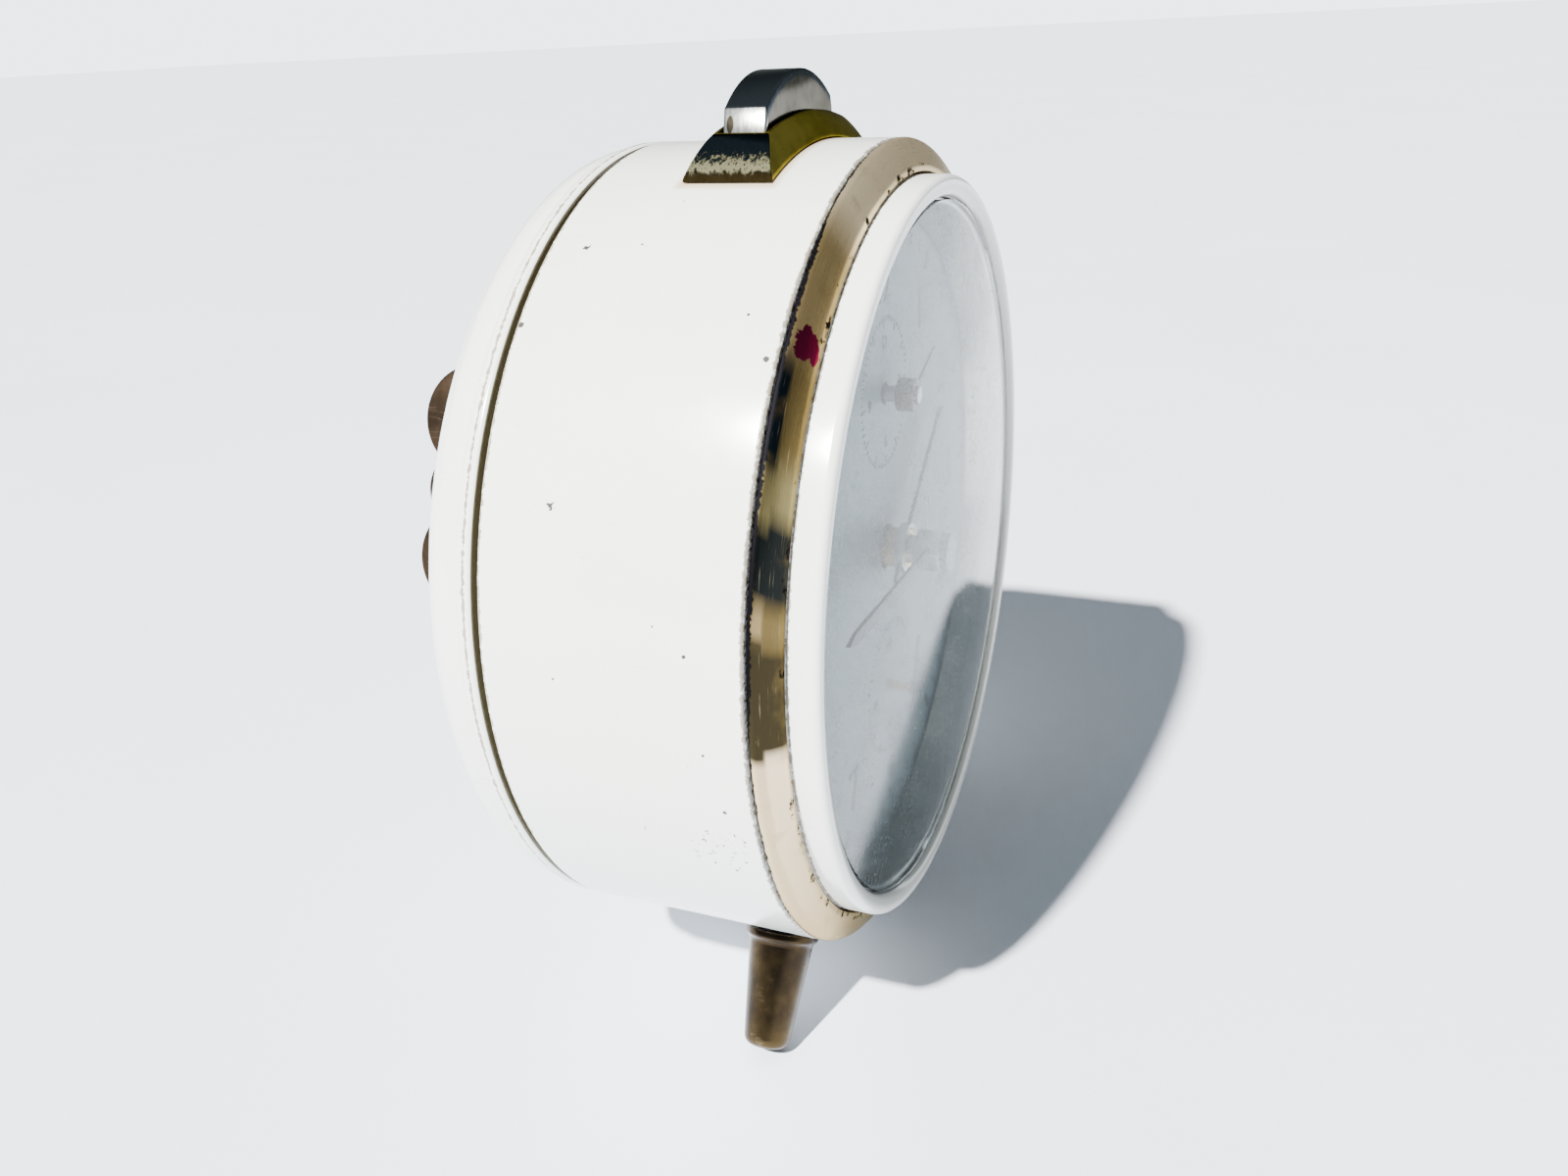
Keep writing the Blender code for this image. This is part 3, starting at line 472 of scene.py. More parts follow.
def enamel(name, seams=(), chips=0.02, band=False, groove=None, lip=False):
    made, tree, shader, spot = finish(name, 0.17, Coat_Weight=0.3, Coat_Roughness=0.08)
    aged = effect(tree, PATCHES, scale=26.0, low=0.35, high=0.8)
    base = mixed(tree, aged, (0.87, 0.885, 0.84), (0.83, 0.835, 0.765))
    _, _, ahead, turn_at, radius = dial_frame(tree, spot)
    ragged = times(tree, noise(tree, spot, 2600.0, 3.0), 0.28)
    specks = effect(tree, CHIPS, scale=420.0, size=0.13, amount=chips)
    flakes = effect(tree, CHIPS, scale=95.0, size=0.07, amount=chips)
    marks = larger(tree, specks, flakes)
    if band:
        base, marks = band_wear(tree, base, marks, ahead, turn_at, ragged)
    dirt = effect(tree, SEAM, forward=seams[0], width=0.00012, ragged=0.0009)
    for place in seams[1:]:
        dirt = larger(tree, dirt, effect(tree, SEAM, forward=place, width=0.00012, ragged=0.0009))
    hairs = times(tree, effect(tree, SCRATCHES, scale=70.0, width=0.003, amount=0.40), 0.2)
    base = mixed(tree, hairs, base, (0.5, 0.46, 0.38))
    base = mixed(tree, marks, base, PRIMER)
    base = mixed(tree, times(tree, dirt, 0.8), base, SEAM_BROWN)
    # Painted shade: towards the glass, the bezel's inner lip fades to grey-green.
    if lip:
        base = mixed(tree, times(tree, step_mask(tree, radius, *LIP_SHADE_RADII), 0.62), base, (0.27, 0.28, 0.24))
    # Painted shade: the narrow gap where the back cover meets the band is painted dark brown.
    if groove:
        inside = calc(tree, "LESS_THAN", radius, GROOVE_R)
        gap_shade = times(tree, calc(tree, "GREATER_THAN", ahead, groove), inside)
        base = mixed(tree, gap_shade, base, (0.075, 0.062, 0.032))
    feed(tree, shader, "Base Color", base)
    rough = plus(tree, 0.14, times(tree, noise(tree, spot, 300.0), 0.10))
    feed(tree, shader, "Roughness", larger(tree, rough, times(tree, marks, 0.7)))
    bump(tree, shader, minus(tree, times(tree, noise(tree, spot, 55.0, 2.0), 0.5), marks), 0.12)
    return made


# %% [markdown]
# The trim ring is lacquered brass rolled to a soft bevel, pitted black at its front and rear
# edges. Its tones are painted as a colour ramp along the angle. They stand for worn lacquer and
# also for light and dark surroundings mirrored in the ring, so they don't move with the view.

# %% Trim brass
BEIGE, SAND, GOLD, BRONZE = (0.80, 0.64, 0.41), (0.25, 0.18, 0.08), (0.19, 0.155, 0.065), (0.12, 0.085, 0.03)
BLACKENED, UMBER = (0.003, 0.007, 0.010), (0.007, 0.009, 0.009)
OLIVE, CREAM = (0.028, 0.022, 0.010), (0.60, 0.46, 0.26)
RIM_BLACK, SPOT_RED, RUBBED = (0.006, 0.0055, 0.007), (0.13, 0.007, 0.032), (0.60, 0.52, 0.32)
FAR_TONES = ((225, CREAM), (252, GOLD), (285, UMBER), (320, BEIGE), (360, OLIVE))
NEAR_TONES = ((0, OLIVE), (40, BEIGE), (112, BEIGE), (120, SAND))
OUTER_TONES = (*NEAR_TONES, (135, SAND), (138.5, BLACKENED), (149, BLACKENED), (151, GOLD), (155, GOLD),
               (157, UMBER), (164, UMBER), (165, SAND), (168, SAND), (168.8, OLIVE), (183, OLIVE),
               (184, CREAM), *FAR_TONES)
INNER_TONES = (*NEAR_TONES, (132, SAND), (138, BRONZE), (147, BRONZE), (150, GOLD), (153, GOLD),
               (156, UMBER), (164, UMBER), (165, BRONZE), (168.5, BRONZE), (169.5, OLIVE), (182, OLIVE),
               (183, BEIGE), *FAR_TONES)
# The red spot's place as a share of the turn and metres forward, and the worn stretch of the rim
SPOT_AT, WORN_FROM, WORN_TO = (134.6 / 360, 0.0014), (114 / 360, 124 / 360), (182 / 360, 174 / 360)


def trim_brass():
    made, tree, shader, spot = finish("trim_brass", 0.2, 1.0, Specular_Tint=(0.5, 0.46, 0.38, 1.0))
    _, _, ahead, turn_at, radius = dial_frame(tree, spot)
    whole = calc(tree, "DIVIDE", calc(tree, "FLOORED_MODULO", turn_at, 2 * math.pi), 2 * math.pi)
    slant = times(tree, minus(tree, noise(tree, spot, 120.0, 2.0), 0.5), 0.004)
    lean = times(tree, minus(tree, ahead, 0.001), -2.2)
    around = plus(tree, whole, plus(tree, slant, lean))
    outer = ramp(tree, around, [(angle / 360, color) for angle, color in OUTER_TONES])
    inner = ramp(tree, around, [(angle / 360, color) for angle, color in INNER_TONES])
    brush = wire_up(tree, "ShaderNodeCombineXYZ")
    feed(tree, brush, 0, times(tree, radius, 9000.0))
    feed(tree, brush, 1, times(tree, turn_at, 9.0))
    lines = noise(tree, brush.outputs[0], 1.0, 3.0)
    fold = plus(tree, ahead, times(tree, minus(tree, lines, 0.5), 0.0006))
    tone = mixed(tree, step_mask(tree, fold, 0.00095, 0.00125), outer, inner)
    tone = mixed(tree, times(tree, step_mask(tree, lines, 0.62, 0.8), 0.5), tone, RUBBED)
    dulled = effect(tree, PATCHES, scale=300.0, low=0.55, high=0.75)
    tone = mixed(tree, times(tree, dulled, 0.3), tone, BRONZE)
    away = root_sum(tree, minus(tree, whole, SPOT_AT[0]), times(tree, minus(tree, ahead, SPOT_AT[1]), 8.0))
    spill = calc(tree, "LESS_THAN", plus(tree, away, times(tree, noise(tree, spot, 1100.0), 0.008)), 0.0098)
    tone = mixed(tree, spill, tone, SPOT_RED)
    worn_side = times(tree, step_mask(tree, whole, *WORN_FROM), step_mask(tree, whole, *WORN_TO))
    rear_rim = effect(tree, SEAM, forward=0.0, ragged=0.0008,
                      width=plus(tree, 0.00010, times(tree, worn_side, 0.00028)))
    front_rim = times(tree, effect(tree, SEAM, forward=0.00215, width=0.00006, ragged=0.0007),
                     effect(tree, PATCHES, scale=420.0, low=0.55, high=0.60))
    rims = larger(tree, rear_rim, front_rim)
    tone = mixed(tree, rims, tone, RIM_BLACK)
    feed(tree, shader, "Base Color", tone)
    dark = larger(tree, rims, spill)
    feed(tree, shader, "Metallic", plus(tree, 0.87, times(tree, dark, 0.13)))
    rough = plus(tree, 0.20, times(tree, lines, 0.2))
    feed(tree, shader, "Roughness", larger(tree, rough, times(tree, rims, 0.6)))
    bump(tree, shader, minus(tree, lines, rims), 0.1)
    return made


# %% [markdown]
# The other metals are one recipe with different tones: a base metal, a darker tarnish in soft
# patches, and brighter scratches. The feet and keys are dark aged brass, and inner parts use the
# same recipe with less tarnish. The button and its base are painted by place instead: their
# light and dark zones stand partly for what such metal mirrors, so they don't move with the view.
# Their tint at grazing angles, and the ring's, is set darker than real metal has.

# %% Worn metals


def worn_metal(name, bright, dark, rough, tarnish=0.5, scale=220.0, scuffs=0.5):
    made, tree, shader, spot = finish(name, rough, 1.0)
    tarnished = times(tree, effect(tree, PATCHES, scale=scale, low=0.38, high=0.62), tarnish)
    tone = mixed(tree, tarnished, bright, dark)
    tone = mixed(tree, times(tree, effect(tree, SCRATCHES, scale=160.0, width=0.012, amount=scuffs), 0.7),
                 tone, tuple(min(1.0, c * 1.7 + 0.05) for c in bright))
    feed(tree, shader, "Base Color", tone)
    grain = noise(tree, spot, 900.0, 3.0)
    feed(tree, shader, "Roughness", plus(tree, rough - 0.08, times(tree, grain, 0.16)))
    bump(tree, shader, grain, 0.06)
    return made


BASE_HALF, BASE_LEAN, BASE_LOW, BASE_RISE = math.radians(19.4), math.radians(6.0), 45.15, 2.75


def zoned_metal(name, rough, zones):
    """Plated metal whose tone depends on the place: zones are (mask maker, colour) pairs laid one
    over another, each mask worked out from the dial frame."""
    made, tree, shader, spot = finish(name, rough, 1.0, Specular_Tint=(0.35, 0.35, 0.33, 1.0))
    place = dial_frame(tree, spot)
    drawn = wire_up(tree, "ShaderNodeMapping")
    feed(tree, drawn, "Vector", spot)
    drawn.inputs["Scale"].default_value = (1.0, 1.0, 0.2)
    grain = noise(tree, drawn.outputs[0], 2600.0, 3.0, 0.7)
    tone = None
    for zone, color in zones:
        if zone is None:
            clouds = effect(tree, PATCHES, scale=330.0, low=0.35, high=0.7)
            tone = mixed(tree, clouds, color, tuple(0.72 * c for c in color))
        else:
            tone = mixed(tree, zone(tree, place, grain), tone, color)
    feed(tree, shader, "Base Color", tone)
    feed(tree, shader, "Roughness", plus(tree, rough - 0.06, times(tree, grain, 0.12)))
    bump(tree, shader, grain, 0.05)
    return made


def beyond(tree, value, low, high, grain, stir):
    """A soft step of a value from low to high, stirred by the grain so that its edge is ragged."""
    return step_mask(tree, plus(tree, value, times(tree, minus(tree, grain, 0.5), stir)), low, high)


def base_end_face(tree, place, grain):
    """The sloping ends: past the angle at which the end's own edge stands at this height."""
    _, _, _, turn_at, radius = place
    rise = larger(tree, 0.0, calc(tree, "DIVIDE", minus(tree, radius, BASE_LOW * MM), BASE_RISE * MM))
    edge = minus(tree, BASE_HALF - 0.004, times(tree, calc(tree, "POWER", rise, 1.5), BASE_LEAN))
    return calc(tree, "GREATER_THAN", calc(tree, "ABSOLUTE", minus(tree, turn_at, math.pi / 2)), edge)


def base_glint(tree, place, grain):
    """A ragged painted highlight across the ends, between two heights."""
    radius = place[4]
    band_up = beyond(tree, radius, 0.0457, 0.0461, grain, 0.0016)
    band_down = beyond(tree, radius, 0.0468, 0.0462, grain, 0.0026)
    return times(tree, base_end_face(tree, place, grain), times(tree, band_up, band_down))


def base_low(tree, place, grain):
    """The lowest part of the ends, below the stripe, where a dark painted reflection goes."""
    below = beyond(tree, place[4], 0.0460, 0.0456, grain, 0.0008)
    return times(tree, base_end_face(tree, place, grain), below)


def button_dome(tree, place, grain):
    """The dome's upper shell, and a ragged lip where it laps over the front face: the place of a painted dark
    reflection.
    """
    x, y, _, _, _ = place
    return beyond(tree, root_sum(tree, x, minus(tree, y, 0.0363)), 0.01485, 0.0150, grain, 0.0009)


def button_end(tree, place, grain):
    """The upright ends, beyond the crease and below the dome: the place of a painted bright reflection,
    partly also rubbed bright metal.
    """
    x, y, _, _, _ = place
    side = calc(tree, "GREATER_THAN", calc(tree, "ABSOLUTE", x), 0.0094)
    return times(tree, side, step_mask(tree, y, 0.0490, 0.0487))


def button_dent(tree, place, grain):
    """A small dark oval low on the left end, towards the back: a painted shade for a dent."""
    x, y, ahead, _, _ = place
    reach = root_sum(tree, times(tree, minus(tree, y, 0.0474), 0.45), plus(tree, ahead, 0.01355))
    return times(tree, calc(tree, "LESS_THAN", reach, 0.00036), calc(tree, "LESS_THAN", x, -0.009))


def plain_paint(name, color, rough, mottle=0.85):
    made, tree, shader, spot = finish(name, rough)
    clouds = effect(tree, PATCHES, scale=130.0, low=0.3, high=0.7)
    tone = mixed(tree, clouds, color, tuple(c * mottle for c in color))
    feed(tree, shader, "Base Color", tone)
    bump(tree, shader, noise(tree, spot, 1500.0), 0.05)
    return made


def worn_glass():
    """Clear glass, hazed and scratched by handling. Its index is below real glass's 1.5, so that
    less of the bright floor is mirrored at a grazing angle and the dial shows."""
    made, tree, shader, spot = finish("crystal_glass", 0.04, IOR=1.16, Transmission_Weight=1.0)
    fine = effect(tree, SCRATCHES, scale=90.0, width=0.006, amount=0.5)
    smear = larger(tree, effect(tree, CHIPS, scale=330.0, size=0.12, amount=0.05), times(tree, fine, 0.8))
    tint = mixed(tree, times(tree, smear, 0.6), (0.92, 0.97, 0.97), (0.45, 0.55, 0.55))
    feed(tree, shader, "Base Color", tint)
    haze = effect(tree, PATCHES, scale=60.0, low=0.35, high=0.75)
    rough = plus(tree, times(tree, haze, 0.07), times(tree, fine, 0.35))
    feed(tree, shader, "Roughness", plus(tree, rough, 0.03))
    bump(tree, shader, minus(tree, 1.0, fine), 0.15)
    return made


ENAMEL_BAND = enamel("enamel_band", (-0.00045, -0.02650), band=True)
# The bezel's enamel carries a painted shade on its inner lip.
ENAMEL_FRONT = enamel("enamel_bezel", (0.0023,), chips=0.04, lip=True)
# The back cover's enamel carries a painted shade in its gap to the band.
ENAMEL_BACK = enamel("enamel_back", (-0.0282,), groove=-0.0277)
TRIM = trim_brass()
AGED = worn_metal("aged_brass", (0.060, 0.042, 0.019), (0.018, 0.013, 0.010), 0.25, 0.8, 150.0, scuffs=0.40)
KEY_BRASS = worn_metal("key_brown", (0.085, 0.056, 0.034), (0.045, 0.031, 0.021), 0.36, 0.7, 160.0)
# The base's ends are painted as reflection: near black over the slope, a stripe of painted highlight, and
# dark brown below it.
BASE_METAL = zoned_metal("button_base_brass", 0.30, (
    (None, (0.35, 0.285, 0.06)), (base_end_face, (0.004, 0.0065, 0.0085)), (base_glint, (0.20, 0.19, 0.11)),
    (base_low, (0.022, 0.016, 0.006))))
# The button's zones are painted reflection and shade: a darker dome, bright ends that are partly rubbed, and
# a dark oval for a dent.
BUTTON_METAL = zoned_metal("button_nickel", 0.16, (
    (None, (0.20, 0.19, 0.17)), (button_dome, (0.11, 0.125, 0.14)), (button_end, (0.68, 0.69, 0.66)),
    (button_dent, (0.12, 0.10, 0.07))))
NICKEL = worn_metal("plain_nickel", (0.46, 0.45, 0.43), (0.24, 0.225, 0.20), 0.2, 0.5, 240.0)
BRASS = worn_metal("movement_brass", (0.72, 0.53, 0.24), (0.42, 0.29, 0.12), 0.28, 0.4)
STEEL = worn_metal("movement_steel", (0.50, 0.51, 0.52), (0.30, 0.30, 0.31), 0.3, 0.4)
BLUED = worn_metal("blued_steel", (0.05, 0.08, 0.17), (0.03, 0.03, 0.05), 0.25, 0.5)
BROWN = plain_paint("knob_brown", (0.115, 0.058, 0.030), 0.38, 0.6)
BLACK = plain_paint("hand_black", (0.02, 0.02, 0.022), 0.35)
CREAM_TIP = plain_paint("cream_tip", (0.78, 0.72, 0.56), 0.4)
# Painted shade: the silvered dial is given a dark grey, for its place in shade behind the glass.
DIAL_PAINTED_SHADE = plain_paint("dial_silvered_painted_shade", (0.20, 0.24, 0.25), 0.45, 0.95)
GLASS = worn_glass()
print(len(bpy.data.materials), "materials")


def dressed(obj, paint):
    obj.data.materials.clear()
    obj.data.materials.append(paint)
    return obj


# %% [markdown]
# The floor is one pale sheet that runs far past the clock, with a smooth satin surface. A
# single strong lamp high on the left gives the clear-edged shadow, and a pale surround fills the
# rest. The surround is brighter to the camera than as a light, which keeps the backdrop white.

# %% Floor and light
reach = np.linspace(-12.0, 12.0, 41)
gx, gy = np.meshgrid(reach, reach, indexing="ij")
floor = mesh_object("floor", np.stack([gx, gy, 0 * gx - 0.0001], -1), grid_faces(41, 41), merge=False)
floor_paint, tree, shader, spot = finish("table_top", 0.5)
clouds = effect(tree, PATCHES, scale=9.0, low=0.3, high=0.7)
feed(tree, shader, "Base Color", mixed(tree, clouds, (0.83, 0.87, 0.96), (0.80, 0.84, 0.935)))
dressed(floor, floor_paint)

SUN_TRAVEL = Vector((0.634, -0.211, -0.744)).normalized()
sun = bpy.data.objects.new("key_light", bpy.data.lights.new("key_light", "SUN"))
sun.data.energy = 18.0
sun.data.angle = math.radians(2.2)
sun.data.color = (1.0, 0.985, 0.96)
sun.rotation_euler = SUN_TRAVEL.to_track_quat("-Z", "Y").to_euler()
bpy.context.scene.collection.objects.link(sun)
world = bpy.data.worlds.new("surround")
bpy.context.scene.world = world
world.use_nodes = True
sky = world.node_tree
fill = sky.nodes["Background"]
fill.inputs["Color"].default_value = (0.82, 0.93, 0.98, 1.0)
fill.inputs["Strength"].default_value = 0.33
behind = sky.nodes.new("ShaderNodeBackground")
behind.inputs["Color"].default_value = (0.86, 0.91, 1.0, 1.0)
behind.inputs["Strength"].default_value = 4.3
seen = sky.nodes.new("ShaderNodeLightPath")
pick_one = sky.nodes.new("ShaderNodeMixShader")
sky.links.new(seen.outputs["Is Camera Ray"], pick_one.inputs[0])
sky.links.new(fill.outputs[0], pick_one.inputs[1])
sky.links.new(behind.outputs[0], pick_one.inputs[2])
sky.links.new(pick_one.outputs[0], sky.nodes["World Output"].inputs["Surface"])

# %% [markdown]
# The case band is a tube of sheet metal with its front edge rolled inwards. Only its section is
# drawn, and the turning does the rest. The fold at each edge is a fillet of a few tenths of a
# millimetre, because a pressed edge is never sharp and catches a line of light.

# %% Case band, trim ring and bezel
band = turned("case_band_shell", fillet(
    [(42.0, -0.3), (45.0, -0.3), (45.0, -26.7), (44.2, -26.7), (44.2, -1.1), (42.0, -1.1)],
    (0.3, 0.5, 0.35, 0.2, 0.2, 0.2)), steps=288)
settle(dressed(band, ENAMEL_BAND), "case", "white_enamel", "case_band")
ring = turned("trim_ring_rolled", fillet(
    [(41.6, 2.2), (42.2, 2.15), (44.1, 1.25), (45.0, 0.45), (45.0, 0.0), (41.6, 0.0)],
    (0.0, 0.3, 0.9, 0.35, 0.2, 0.0), 8), steps=288)
settle(dressed(ring, TRIM), "case", "brass", "trim_ring")
bezel = turned("bezel_rolled", fillet(
    [(39.0, 4.5), (39.35, 5.15), (40.2, 5.35), (41.3, 5.25), (41.3, -1.0), (40.5, -1.0), (40.5, 3.4),
     (39.0, 3.7)],
    (0.2, 0.4, 0.5, 0.85, 0.2, 0.2, 0.2, 0.2), 8), steps=288)
settle(dressed(bezel, ENAMEL_FRONT), "case", "white_enamel", "front_bezel")

# %% [markdown]
# The crystal is a shallow dome: its height falls from the centre with the square of the radius.
# It is one millimetre thick, and both faces are one closed profile, so light bends as it enters
# and again as it leaves. The ring under it slopes down to the dial.

# %% Crystal and dial ring
CRYSTAL_R, RIM_UP, DOME_UP, GLASS_T = 38.7, 4.7, 7.2, 1.0
out_r = np.linspace(0, 1, 40)
dome = np.stack([CRYSTAL_R * out_r, RIM_UP + (DOME_UP - RIM_UP) * (1 - out_r ** 2)], -1)
crystal = turned("crystal_dome", np.concatenate([dome, dome[::-1] - (0, GLASS_T)]), steps=192)
settle(dressed(crystal, GLASS), "case", "glass", "crystal")
sill = turned("dial_ring_pressed", fillet(
    [(38.2, 3.35), (40.2, 3.35), (40.2, 2.9), (38.7, 2.85), (37.6, -1.2), (37.0, -1.2)],
    (0.3, 0.15, 0.15, 0.3, 0.1, 0.1)), steps=192)
settle(dressed(sill, NICKEL), "case", "nickel", "dial_ring")

# %% [markdown]
# The back cover is a deep dish with a bead beside the seam, a shallow valley and a round
# shoulder. After turning, it is pierced where the winding arbors, the setting arbors, the screws
# and the regulator come through, with round tools in the places of the CAD pieces.

# %% Back cover
cover = turned("back_cover_dish", fillet(
    [(43.9, -24.6), (43.9, -27.3), (45.0, -27.45), (44.95, -28.9), (44.5, -29.3), (44.55, -30.3),
     (44.1, -31.9), (42.8, -33.6), (40.5, -34.9), (37.0, -35.55), (33.0, -35.8), (0.0, -35.8), (0.0, -35.1),
     (37.4, -34.8),
     (41.5, -33.4), (43.1, -31.2), (43.1, -24.6)],
    (0.1, 0.1, 0.5, 0.4, 0.3, 0.5, 0.8, 1.0, 1.3, 1.6, 1.5, 0, 0, 1.0, 1.2, 0.6, 0.1), 8), steps=256)


def drill(node, radius):
    return turned("drill", [(0, -30.0), (radius, -30.0), (radius, -45.0), (0, -45.0)], on_dial(node), 48)


PIERCED = {"time_winding_arbor": 2.6, "alarm_winding_arbor": 2.6, "centre_wheel": 1.9, "alarm_arbor": 1.9}
PIERCED.update({f"cover_screw_{i}": 1.3 for i in range(1, 5)})
tools = [drill(node, radius) for node, radius in PIERCED.items()]
BALANCE = (-23.0, -16.0)
slot_loop = np.concatenate([arc(9.4, -0.5, 0.5, 16, BALANCE), arc(6.6, 0.5, -0.5, 16, BALANCE)])
tools.append(slab("slot_tool", slot_loop, -45.0, -30.0, 0.0001, dial_points))
carve(cover, *tools)
settle(dressed(cover, ENAMEL_BACK), "case", "white_enamel", "back_cover")

# %% [markdown]
# The feet are turned brass cones, thickest at the flange where they meet the case. The two in
# front splay outwards, the short one behind stands straight down. Each is cut level where it
# touches the table, as wear would, with a thin flat left by the tool.

# %% Feet
SPLAY = math.radians(32.2)
AXIS_MM = AXIS_Z / MM
GROUND = box_corners((-0.08, 0.08), (-0.05, 0.05), (-0.03, 0.0))
FEET = (("front_foot_left", -SPLAY, -6.8), ("front_foot_right", SPLAY, -6.8), ("rear_foot", 0.0, -21.0))
for node, lean, forward in FEET:
    down = (math.sin(lean), 0.0, -math.cos(lean))
    start = dial_points(0.0, 0.0, forward)
    if lean:
        tip = (AXIS_MM + 0.15) / math.cos(SPLAY) - 1.2
        shape = fillet([(0, tip), (2.55, tip), (3.7, 46.5), (4.2, 46.1), (4.2, 45.3), (0, 45.3)],
                       (0, 1.15, 0.4, 0.25, 0.2, 0), 8)
    else:
        shape = fillet([(0, AXIS_MM), (2.4, AXIS_MM), (3.0, 46.4), (3.6, 46.0), (3.6, 45.3), (0, 45.3)],
                       (0, 0.4, 0.3, 0.2, 0.2, 0), 6)
    foot = spindle(node + "_turned", shape, start, down, 72)
    if lean:
        carve(foot, mesh_object("ground_tool", GROUND, BOX_SIDES))
    settle(dressed(foot, AGED), "case", "aged_brass", node)

# %% [markdown]
# The button's base is an arch of cast brass that hugs the case: wide at the bottom, narrow at
# the top, with rounded shoulders. Its surface is a section carried along the arch: the angle
# runs one way, the way round the section the other, and the ends close in and lean.

# %% Button base
BASE_AT = -12.0


def arch(name, section, half, at, lean):
    """A (forward, radius) section carried along an arc round the dial's axis. Higher points stop
    short of the ends by the lean, so that the end faces slope."""
    section = np.asarray(section, float)
    share = np.linspace(-1, 1, 73)[:, None]
    rise = (section[:, 1] - section[:, 1].min()) / np.ptp(section[:, 1])
    angle = share * (half - lean * rise[None] ** 1.5)
    radius = section[None, :, 1]
    points = dial_points(radius * np.sin(angle), radius * np.cos(angle), at + section[None, :, 0])
    count = len(section)
    faces = grid_faces(73, count, False, True)
    faces += [list(range(count)), list(range(73 * count - 1, 72 * count - 1, -1))]
    return mesh_object(name, points, faces)


half_section = [(4.7, 45.15), (4.62, 45.5), (4.2, 46.3), (3.7, 47.1), (3.25, 47.65), (2.95, 47.9)]
half_radii = (0.1, 0.1, 0.3, 0.3, 0.2, 0.12)
other_half = [(-forward, radius) for forward, radius in half_section[::-1]]
base_section = fillet(half_section + other_half, half_radii + half_radii[::-1], 4)
base = arch("button_base_cast", base_section, BASE_HALF, BASE_AT, BASE_LEAN)
slot_x, slot_y, slot_forward = box_corners((-10.65, 10.65), (40, 60), (-2.65, 2.65)).T
carve(base, mesh_object("slot_tool", dial_points(slot_x, slot_y, BASE_AT + slot_forward), BOX_SIDES))
settle(dressed(base, BASE_METAL), "case", "aged_brass", "button_base")

# %% Alarm button
ARC_R, TOP, HALF_W, CREASE_W = 15.7, 52.0, 10.1, 9.4
centre_up = TOP - ARC_R
spread = math.asin(CREASE_W / ARC_R)
dome_line = arc(ARC_R, math.pi / 2 + spread, math.pi / 2 - spread, 60, (0.0, centre_up))
foot_line = arc(47.4, math.pi / 2 - math.asin(HALF_W / 47.4), math.pi / 2 + math.asin(HALF_W / 47.4), 30)
button_loop = np.concatenate([dome_line, foot_line])
head = slab("alarm_button_plated", button_loop, BASE_AT - 2.3, BASE_AT + 2.3, 0.25, dial_points)
settle(dressed(head, BUTTON_METAL), "alarm_button", "nickel", "alarm_button")

# %% [markdown]
# The winding keys are the folded-wing kind: a round hub with two flat lobes that lie in one
# plane with the arbor. The lobes are one outline, two round arcs joined through the hub, given
# thickness with soft edges. Hub and wings are two pieces on the same body.

# %% Winding keys
LOBE_AT, LOBE_R, KEY_BACK = 7.85, 6.0, -50.75
KEYS = {"time": (-18.0, math.radians(-19.0)), "alarm": (18.0, math.radians(33.0))}
half_wing = arc(LOBE_R, math.radians(125), math.radians(-140), 60, (LOBE_AT, KEY_BACK + LOBE_R))
wing_loop = np.concatenate([[(0.0, -38.9)], half_wing, [(0.0, -47.2)], half_wing[::-1] * (-1, 1)])
for which, (across, key_turn) in KEYS.items():
    axis = (across, 9.73)

    def on_wing(along, forward, thick, axis=axis, key_turn=key_turn):
        """Along the wings, forward and through their thickness: the first runs at the key's
        angle from upright, the last square to it."""
        sine, cosine = math.sin(-key_turn), math.cos(-key_turn)
        right, up = along * sine + thick * cosine, along * cosine - thick * sine
        return dial_points(axis[0] + right, axis[1] + up, forward)

    wings = slab(f"{which}_key_wings", wing_loop, -0.8, 0.8, 0.35, on_wing)
    hub = turned(f"{which}_key_hub", fillet(
        [(0, -48.4), (3.5, -48.3), (3.5, -37.0), (1.56, -37.0), (1.56, -46.3), (0, -46.3)][::-1],
        (0, 0.1, 0.2, 0.4, 1.2, 0), 8), axis, 64)
    for piece in (wings, hub):
        settle(dressed(piece, KEY_BRASS), f"{which}_winding", "aged_brass")
    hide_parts(f"{which}_winding_key")

# %% [markdown]
# The two setting knobs are moulded and fluted for grip. The flutes are a small ripple of the
# radius with the angle, which fades near the axis so that the face stays round and flat.

# %% Setting knobs and cover screws
FLUTES = 28


def ripple(angle, radius):
    return 0.03 * (np.abs(np.cos(FLUTES * angle / 2)) - 1.0) * np.clip((radius - 3.6) / 0.6, 0, 1)


